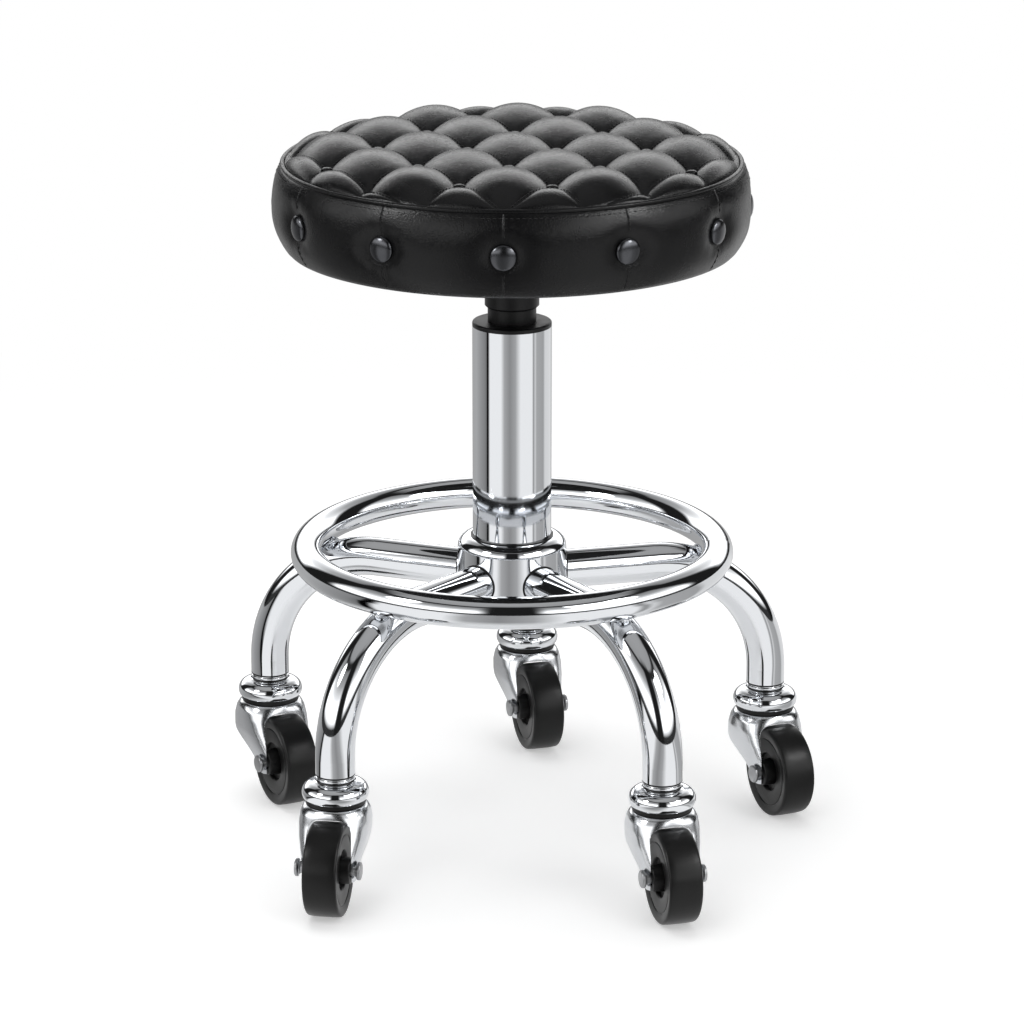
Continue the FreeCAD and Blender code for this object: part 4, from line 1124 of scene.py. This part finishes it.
@dataclass
class CasterSet:
    """The five casters: caps over the raceways, pressed hoods, axle bolts and moulded wheels."""

    places: tuple[CasterPlace, ...] = (
        CasterPlace("front_left", 234.0, -6.6), CasterPlace("front_right", 306.0, 19.0),
        CasterPlace("right", 18.0, 27.4), CasterPlace("rear", 90.0, 20.4), CasterPlace("left", 162.0, 30.4))
    stem_circle: float = 199.6
    trail: float = 27.1
    axle_level: float = 34.2
    # Level, half width, front, back and squareness of the pressed hood.
    stations: tuple[tuple[float, float, float, float, float], ...] = (
        (76.2, 20.6, 20.6, 20.6, 2.0), (75.7, 22.2, 22.1, 22.1, 2.0), (74.4, 23.6, 23.2, 23.2, 2.1),
        (71.0, 25.0, 24.1, 24.1, 2.4), (64.0, 25.7, 25.2, 24.5, 2.9), (55.0, 25.0, 28.6, 24.5, 3.4),
        (45.0, 22.9, 33.0, 24.5, 4.0), (34.2, 20.5, 36.6, 24.5, 4.6), (18.0, 20.4, 37.5, 24.5, 4.6))
    hood_rows: int = 34
    hood_steps: int = 112
    # Sets the rows closer together towards the top.
    row_power: float = 1.7
    wall: float = 2.4
    # Side, level and rounding of the opening that the wheel stands in.
    arch: Outline = ((-18.2, 10.0, 0), (18.2, 10.0, 0), (17.8, 40.0, 0), (15.4, 70.0, 9.0),
                     (-15.4, 70.0, 9.0), (-17.8, 40.0, 0))
    # Place along the caster, level and rounding of what the trimming leaves.
    kept: Outline = (
        (40.0, 90.0, 0), (-50.0, 90.0, 0), (-44.0, 60.0, 0), (-36.6, 36.0, 4.0), (-34.6, 25.8, 6.8),
        (-19.4, 25.8, 6.8), (-14.5, 37.0, 8.0), (20.5, 55.0, 9.0), (27.5, 66.0, 6.0), (40.0, 74.0, 0))
    cutter_half: float = 60.0
    lip: float = 0.8
    lip_steps: int = 3
    lip_deg: float = 42.0
    # Radius, distance from the wheel's middle and rounding, from the bore out.
    wheel_side: Outline = (
        (5.2, 16.9, 0), (9.6, 16.9, 0.8), (10.0, 7.4, 0.6), (14.0, 7.4, 0.6), (14.8, 10.8, 0.8),
        (25.0, 11.4, 0.3), (25.4, 11.0, 0.2), (25.9, 11.0, 0.2), (26.3, 11.6, 0.3), (30.5, 12.5, 1.0),
        (33.7, 12.5, 1.9), (34.2, 6.0, 0))
    wheel_steps: int = 96
    # The same for a flat head on a short neck, from the end in.
    bolt_end: Outline = ((0.0, 24.1, 0), (6.6, 24.1, 1.0), (6.6, 21.6, 0.5), (4.6, 21.4, 0.2),
                         (4.6, 20.3, 0.2), (4.0, 20.1, 0))
    bolt_steps: int = 48
    cap_low: float = 79.6
    cap_bore: float = 12.6
    # Height of the cap's widest line, and the centre and half sizes of the curves below and above it.
    cap_wide: float = 4.6
    cap_tuck: Point = (22.2, 2.1, 4.6)
    cap_dome: Point = (16.8, 7.5, 7.4)
    # Radius, height over the cap's foot and rounding of the neck with its bead.
    cap_neck: Outline = ((15.0, 12.3, 1.0), (13.5, 13.6, 0.8), (13.5, 14.2, 0.2), (14.3, 14.6, 0.4),
                         (14.3, 16.0, 0.4), (13.5, 16.3, 0.2), (13.5, 17.0, 0), (12.6, 17.0, 0))
    cap_rows: tuple[int, int] = (7, 10)
    cap_steps: int = 80
    # The two dark rings of a neck, above and below its bead.
    seal_levels: tuple[float, ...] = (93.5, 97.3)
    seal_radius: float = 13.6
    seal_half: float = 0.85
    seal_grid: tuple[int, int] = (8, 48)

    def hood_section(self, level: float) -> list[float]:
        """Reads the hood's section between its stations.

        Args:
            level: The height in mm.

        Returns:
            Half width, front, back and squareness.
        """
        for upper, lower in zip(self.stations, self.stations[1:]):
            if level >= lower[0]:
                share = min((upper[0] - level) / (upper[0] - lower[0]), 1.0)
                return [first + (last - first) * share for first, last in zip(upper[1:], lower[1:])]
        return list(self.stations[-1][1:])

    def hood_block(self, inset: float) -> Mesh:
        """Makes the hood's solid form.

        Args:
            inset: How far it is drawn in; the wall's thickness for the hollow.

        Returns:
            The form in mm.
        """
        top = self.stations[0][0] - inset
        low = self.stations[-1][0] - inset
        bm = bmesh.new()
        bmesh.ops.create_cone(bm, cap_ends=True, segments=self.hood_steps, radius1=1.0, radius2=1.0,
                              depth=top - low)
        bmesh.ops.translate(bm, verts=bm.verts[:], vec=(0, 0, (top + low) / 2))
        for row in range(1, self.hood_rows):
            level = top - (top - low) * (row / self.hood_rows) ** self.row_power
            bmesh.ops.bisect_plane(bm, geom=bm.verts[:] + bm.edges[:] + bm.faces[:], plane_co=(0, 0, level),
                                   plane_no=(0, 0, 1))
        for vert in bm.verts:
            half, front, back, square = self.hood_section(vert.co.z + inset)
            side, ahead = vert.co.x, vert.co.y
            reach = back if ahead > 0 else front
            vert.co.x = math.copysign(abs(side) ** (2 / square), side) * (half - inset)
            vert.co.y = math.copysign(abs(ahead) ** (2 / square), ahead) * (reach - inset)
        face_out(bm)
        return bm

    def hood(self) -> Piece:
        """Presses one hood: hollow, arched at both ends, and trimmed back to a rounded foot.

        Returns:
            The hood in metres, about its own stem.
        """
        kept = extruded(self.kept, self.cutter_half)
        bmesh.ops.transform(kept, verts=kept.verts[:], matrix=turn_about("Z", 90))
        hood = shape_object("pressed_hood", self.hood_block(0.0))
        carve(hood, [(self.hood_block(self.wall), "DIFFERENCE"),
                     (extruded(self.arch, self.cutter_half), "DIFFERENCE"), (kept, "INTERSECT")])
        rolled = hood.modifiers.new("rolled_lip", "BEVEL")
        rolled.width = self.lip * MM
        rolled.segments = self.lip_steps
        rolled.limit_method = "ANGLE"
        rolled.angle_limit = math.radians(self.lip_deg)
        apply_modifiers(hood)
        for face in hood.data.polygons:
            face.use_smooth = True
        return hood

    def cap(self) -> Mesh:
        """Turns one raceway cap: a fat dome, tucked in below and drawn up to a neck with a bead.

        Returns:
            The cap in mm.
        """
        wide = self.cap_low + self.cap_wide
        below, above = self.cap_rows
        tuck = arc((self.cap_tuck[0], wide), self.cap_tuck[1:], range(-below, 0), below)
        dome = arc((self.cap_dome[0], wide), self.cap_dome[1:], range(above), above)
        neck = [(radius, self.cap_low + height, rounding) for radius, height, rounding in self.cap_neck]
        return turned([(self.cap_bore, self.cap_low, 0)] + tuck + dome + neck, self.cap_steps)

    def build(self) -> None:
        """Builds the caps and neck rings, then each caster's hood, bolt and wheel."""
        hood = self.hood()
        wheel = turned(both_sides(self.wheel_side), self.wheel_steps)
        bolt = turned(both_sides(self.bolt_end), self.bolt_steps)
        cap = self.cap()
        seal = hoops(self.seal_radius, self.seal_levels, self.seal_half, self.seal_grid)
        caps = bmesh.new()
        seals = bmesh.new()
        for place in self.places:
            stem = Matrix.Translation(level_way(math.radians(place.leg_deg)) * self.stem_circle)
            join(caps, cap, stem)
            join(seals, seal, stem)
            stand = stem @ turn_about("Z", place.heading_deg)
            axle = stand @ Matrix.Translation((0, -self.trail, self.axle_level)) @ turn_about("Y", 90)
            shell = linked(f"caster_hood_{place.name}", hood.data.copy())
            shell.data.transform(Matrix.Scale(MM, 4) @ stand @ Matrix.Scale(1 / MM, 4))
            settle(shell, PRESSED_PLATE, f"caster_{place.name}", [f"fork_{place.name}"])
            for title, shape, finish, body, node in (("bolt", bolt, STEEL, "caster", "axle"),
                                                     ("tyre", wheel, TREAD, "roller", "wheel")):
                copy = bmesh.new()
                join(copy, shape, axle)
                piece = shape_object(f"caster_{title}_{place.name}", copy)
                settle(piece, finish, f"{body}_{place.name}", [f"{node}_{place.name}"])
        bpy.data.objects.remove(hood)
        for shape in (wheel, bolt, cap, seal):
            shape.free()
        settle(shape_object("raceway_caps", caps), CHROME, Body.BASE.value, ["race_caps"])
        settle(shape_object("neck_seals", seals, ALL_SMOOTH_DEG), TREAD, Body.BASE.value)


@dataclass(frozen=True)
class SoftBox:
    """A lamp: where it hangs, its width and height, its power in watts, and whether mirrors show it."""

    name: str
    place: Point
    size: tuple[float, float]
    power: float
    mirrored: bool


@dataclass
class Studio:
    """The pale floor, the soft light, the dark flags that the chrome mirrors, and the camera."""

    lens: float = 151.92
    sensor: float = 36.0
    distance: float = 3.2066
    target: Point = (0.0, 0.0, 0.2468)
    azimuth_deg: float = 3.44
    elevation_deg: float = 16.76
    floor_half: float = 9.0
    floor_drop: float = 0.0002
    floor_paint: tuple[float, float, float, float] = (0.8, 0.8, 0.8, 1.0)
    floor_fill: float = 0.42
    sky: float = 0.5
    # Where the floor, which takes shadows, goes over into the white surround.
    floor_fade: tuple[float, float] = (0.55, 1.5)
    # Elevation in degrees, and how bright a mirror sees the walls there.
    wall_greys: tuple[tuple[float, float], ...] = (
        (-60.0, 0.8), (-6.0, 0.5), (-1.0, 0.04), (4.5, 0.04), (8.0, 1.2), (12.0, 2.4), (19.0, 2.4),
        (27.0, 1.15), (36.0, 0.5), (47.0, 0.3), (49.5, 0.03), (54.0, 0.03), (57.0, 0.4), (80.0, 0.45))
    # Dark sectors of the walls: their number, grey, sides on a cosine wave, and upper edge.
    sector_count: int = 3
    sector_grey: float = 0.015
    sector_sides: tuple[float, float] = (0.45, 0.85)
    sector_top_deg: tuple[float, float] = (52.0, 66.0)
    # Degrees to the right of the camera, and how bright a mirror sees the floor there.
    floor_greys: tuple[tuple[float, float], ...] = (
        (-178.0, 0.42), (-125.0, 0.5), (-86.0, 0.3), (-79.0, 0.22), (-77.0, 0.0), (-72.0, 0.0),
        (-67.0, 1.12), (-32.0, 1.12), (-22.0, 0.5), (-6.0, 0.34), (10.0, 0.48), (25.0, 1.1), (60.0, 1.1),
        (64.0, 0.4), (66.0, 0.4), (70.0, 0.85), (76.0, 0.5), (103.0, 0.45), (110.0, 0.85), (145.0, 0.9),
        (165.0, 0.45), (178.0, 0.4))
    flag_lift: float = 0.001
    flag_edge: tuple[float, float] = (0.15, 0.35)
    # Two bright cards beside the camera, by their degrees to its right.
    cards: tuple[tuple[str, float], ...] = (("left_card", -64.0), ("right_card", 64.0))
    card_rise_deg: float = 33.0
    card_aim: float = 0.48
    card_distance: float = 2.2
    card_half: float = 0.4
    card_glow: float = 30.0
    lamps: tuple[SoftBox, ...] = (
        SoftBox("top_box", (-0.3, 0.2, 2.2), (1.8, 1.4), 17.0, False),
        SoftBox("key_box", (-1.0, -1.7, 2.1), (1.0, 0.8), 8.0, False),
        SoftBox("side_box", (1.7, -1.5, 1.75), (1.1, 1.1), 9.0, True))

    def outward(self, bearing_deg: float, rise_deg: float) -> Vector:
        """Gives the direction of a place this far to the right of the camera and this far up."""
        turn, rise = math.radians(self.azimuth_deg + bearing_deg), math.radians(rise_deg)
        return Vector((math.sin(turn) * math.cos(rise), -math.cos(turn) * math.cos(rise), math.sin(rise)))

    def seen(self, tree: Tree) -> Socket:
        """Tells looking from soft light.

        Args:
            tree: The nodes to add to.

        Returns:
            1 where the eye, a mirror or glass looks, and 0 for soft light.
        """
        path = add_node(tree, "ShaderNodeLightPath").outputs
        looked = worked_out(tree, "MAXIMUM", path["Is Camera Ray"], path["Is Glossy Ray"])
        return worked_out(tree, "MAXIMUM", looked, path["Is Transmission Ray"])

    def surround(self, tree: Tree) -> Socket:
        """Gives the white surround's strength, which is less for soft light."""
        return ranged(tree, self.seen(tree), (0.0, 1.0), (self.sky, 1.0))

    def glow(self, tree: Tree, strength: Socket | float) -> Node:
        """Adds a white glow."""
        return add_node(tree, "ShaderNodeEmission", {"Color": WHITE, "Strength": strength})

    def away(self, tree: Tree, centre: Vector) -> Socket:
        """Gives the distance from a centre."""
        return add_node(tree, "ShaderNodeVectorMath", {0: own_place(tree), 1: centre},
                        operation="DISTANCE").outputs["Value"]

    def show(self, tree: Tree, share: Socket, under: Node, over: Node) -> None:
        """Shows a share of one shader over another."""
        mix = add_node(tree, "ShaderNodeMixShader", {0: share, 1: under.outputs[0], 2: over.outputs[0]})
        tree.links.new(mix.outputs[0], tree.nodes["Material Output"].inputs["Surface"])

    def sheet(self, name: str, half: float, place: Matrix, mirrors_only: bool) -> Tree:
        """Hangs a square sheet with a material of its own in the studio.

        Args:
            name: The sheet's name.
            half: Half its width.
            place: Where it goes, from flat at the origin.
            mirrors_only: Whether only mirrors see it.

        Returns:
            The material's nodes, with the output still open.
        """
        bm = bmesh.new()
        bmesh.ops.create_grid(bm, x_segments=1, y_segments=1, size=half)
        bmesh.ops.transform(bm, matrix=place, verts=bm.verts[:])
        mesh = bpy.data.meshes.new(name)
        bm.to_mesh(mesh)
        bm.free()
        piece = linked(name, mesh)
        material = bpy.data.materials.new(f"{name}_paper")
        material.use_nodes = True
        material.node_tree.nodes.remove(material.node_tree.nodes["Principled BSDF"])
        mesh.materials.append(material)
        if mirrors_only:
            for ray in ("camera", "diffuse", "transmission", "volume_scatter", "shadow"):
                setattr(piece, f"visible_{ray}", False)
        return material.node_tree

    def greys(self, tree: Tree, place: Socket, stops: Iterable[tuple[float, float]]) -> Socket:
        """Adds a ramp of greys.

        Args:
            tree: The nodes to add to.
            place: Where on the ramp to look, from 0 to 1.
            stops: Each grey's place and its strength.

        Returns:
            The grey.
        """
        node = add_node(tree, "ShaderNodeValToRGB", {0: place})
        ramp = node.color_ramp
        for where, grey in stops:
            ramp.elements.new(where).color = (grey, grey, grey, 1.0)
        ramp.elements.remove(ramp.elements[0])
        ramp.elements.remove(ramp.elements[-1])
        return node.outputs["Color"]

    def bearing(self, tree: Tree, place: Socket) -> Socket:
        """Works out how far round from the camera a place is.

        Args:
            tree: The nodes to add to.
            place: The place.

        Returns:
            Its angle to the right of the camera, in radians from -pi to pi.
        """
        faced = add_node(tree, "ShaderNodeVectorRotate", {
            "Vector": place, "Angle": -math.radians(self.azimuth_deg)}, rotation_type="Z_AXIS")
        parts = add_node(tree, "ShaderNodeSeparateXYZ", {0: faced.outputs["Vector"]}).outputs
        return worked_out(tree, "ARCTAN2", parts["X"], worked_out(tree, "MULTIPLY", parts["Y"], -1.0))

    def floor(self) -> None:
        """Lays the white floor, which keeps the stool's shadow."""
        place = Matrix.Translation((0, 0, -self.floor_drop))
        tree = self.sheet("studio_floor", self.floor_half, place, False)
        paper = add_node(tree, "ShaderNodeBsdfDiffuse", {"Color": self.floor_paint})
        fill = self.glow(tree, worked_out(tree, "MULTIPLY", self.seen(tree), self.floor_fill))
        close = add_node(tree, "ShaderNodeAddShader", {0: paper.outputs[0], 1: fill.outputs[0]})
        share = ranged(tree, self.away(tree, Vector()), self.floor_fade, smooth=True)
        self.show(tree, share, close, self.glow(tree, self.surround(tree)))

    def world(self) -> None:
        """Surrounds the studio with white walls; mirrors also see dark sectors between them."""
        world = bpy.data.worlds.new("white_studio")
        bpy.context.scene.world = world
        world.use_nodes = True
        tree = world.node_tree
        place = add_node(tree, "ShaderNodeTexCoord").outputs["Generated"]
        up = add_node(tree, "ShaderNodeSeparateXYZ", {0: place}).outputs["Z"]
        walls = self.greys(tree, ranged(tree, up, (-1.0, 1.0)), [
            ((math.sin(math.radians(degrees)) + 1) / 2, grey) for degrees, grey in self.wall_greys])
        waves = worked_out(tree, "MULTIPLY", self.bearing(tree, place), float(self.sector_count))
        sector = ranged(tree, worked_out(tree, "COSINE", waves), self.sector_sides, smooth=True)
        low, high = (math.sin(math.radians(degrees)) for degrees in self.sector_top_deg)
        below = ranged(tree, up, (low, high), (1.0, 0.0), smooth=True)
        flag = worked_out(tree, "MULTIPLY", sector, below)
        mirrored = add_node(tree, "ShaderNodeMix", {0: flag, 2: walls, 3: self.sector_grey})
        glossy = add_node(tree, "ShaderNodeLightPath").outputs["Is Glossy Ray"]
        strength = add_node(tree, "ShaderNodeMix", {
            0: glossy, 2: self.surround(tree), 3: mirrored.outputs[0]})
        back = tree.nodes["Background"]
        back.inputs["Color"].default_value = WHITE
        tree.links.new(strength.outputs[0], back.inputs["Strength"])

    def floor_flags(self) -> None:
        """Lays grey flags round the floor, which only mirrors see."""
        tree = self.sheet("floor_flags", self.floor_half, Matrix.Translation((0, 0, self.flag_lift)), True)
        turn = ranged(tree, self.bearing(tree, own_place(tree)), (-math.pi, math.pi))
        grey = self.greys(tree, turn, [
            ((degrees + 180) / 360, value) for degrees, value in self.floor_greys])
        cover = ranged(tree, self.away(tree, Vector()), self.flag_edge, smooth=True)
        self.show(tree, cover, add_node(tree, "ShaderNodeBsdfTransparent"), self.glow(tree, grey))

    def mirror_card(self, name: str, bearing_deg: float) -> None:
        """Hangs a bright card with a soft edge, which only mirrors see: the studs' highlight.

        Args:
            name: The card's name.
            bearing_deg: How far it hangs to the right of the camera.
        """
        out = self.outward(bearing_deg, self.card_rise_deg)
        centre = Vector((0, 0, self.card_aim)) + out * self.card_distance
        facing = out.to_track_quat("Z", "Y").to_matrix().to_4x4()
        tree = self.sheet(name, self.card_half, Matrix.Translation(centre) @ facing, True)
        cover = ranged(tree, self.away(tree, centre), (0.0, self.card_half), (1.0, 0.0), smooth=True)
        self.show(tree, cover, add_node(tree, "ShaderNodeBsdfTransparent"), self.glow(tree, self.card_glow))

    def lamp(self, box: SoftBox) -> None:
        """Hangs a soft box that points at the stool.

        Args:
            box: The lamp.
        """
        light = bpy.data.lights.new(box.name, "AREA")
        light.shape = "RECTANGLE"
        light.size, light.size_y = box.size
        light.energy = box.power
        lamp = linked(box.name, light)
        lamp.location = box.place
        lamp.rotation_euler = (Vector(self.target) - Vector(box.place)).to_track_quat("-Z", "Y").to_euler()
        lamp.visible_camera = False
        lamp.visible_glossy = box.mirrored

    def camera(self) -> None:
        """Sets the camera at the photograph's place."""
        back = self.outward(0.0, self.elevation_deg)
        data = bpy.data.cameras.new("camera")
        data.lens = self.lens
        data.sensor_width = self.sensor
        camera = linked("camera", data)
        camera.location = Vector(self.target) + back * self.distance
        camera.rotation_euler = (-back).to_track_quat("-Z", "Y").to_euler()
        bpy.context.scene.camera = camera

    def build(self) -> None:
        """Builds the whole studio."""
        bpy.context.scene.view_settings.view_transform = "Standard"
        self.floor()
        self.world()
        self.floor_flags()
        for name, bearing_deg in self.cards:
            self.mirror_card(name, bearing_deg)
        for box in self.lamps:
            self.lamp(box)
        self.camera()


def dress_nodes(frame: dict[str, Any]) -> None:
    """Gives every CAD node the finish of its slot.
    """
    for part in frame["record"]["subparts"]:
        piece = frame["nodes"][part["node"]]
        piece.data.materials.clear()
        piece.data.materials.append(FINISHES[Slot(part["material_slot"])].material())


def main() -> None:
    """Builds the stool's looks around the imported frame."""
    logging.basicConfig(level=logging.INFO, format="%(name)s %(message)s")
    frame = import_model()
    dress_nodes(frame)
    builders: list[Callable[[], None]] = [
        TuftedTop().build, SideBand().build, LegJoints().build, CasterSet().build, Studio().build]
    for build in builders:
        build()


if __name__ == "__main__":
    main()
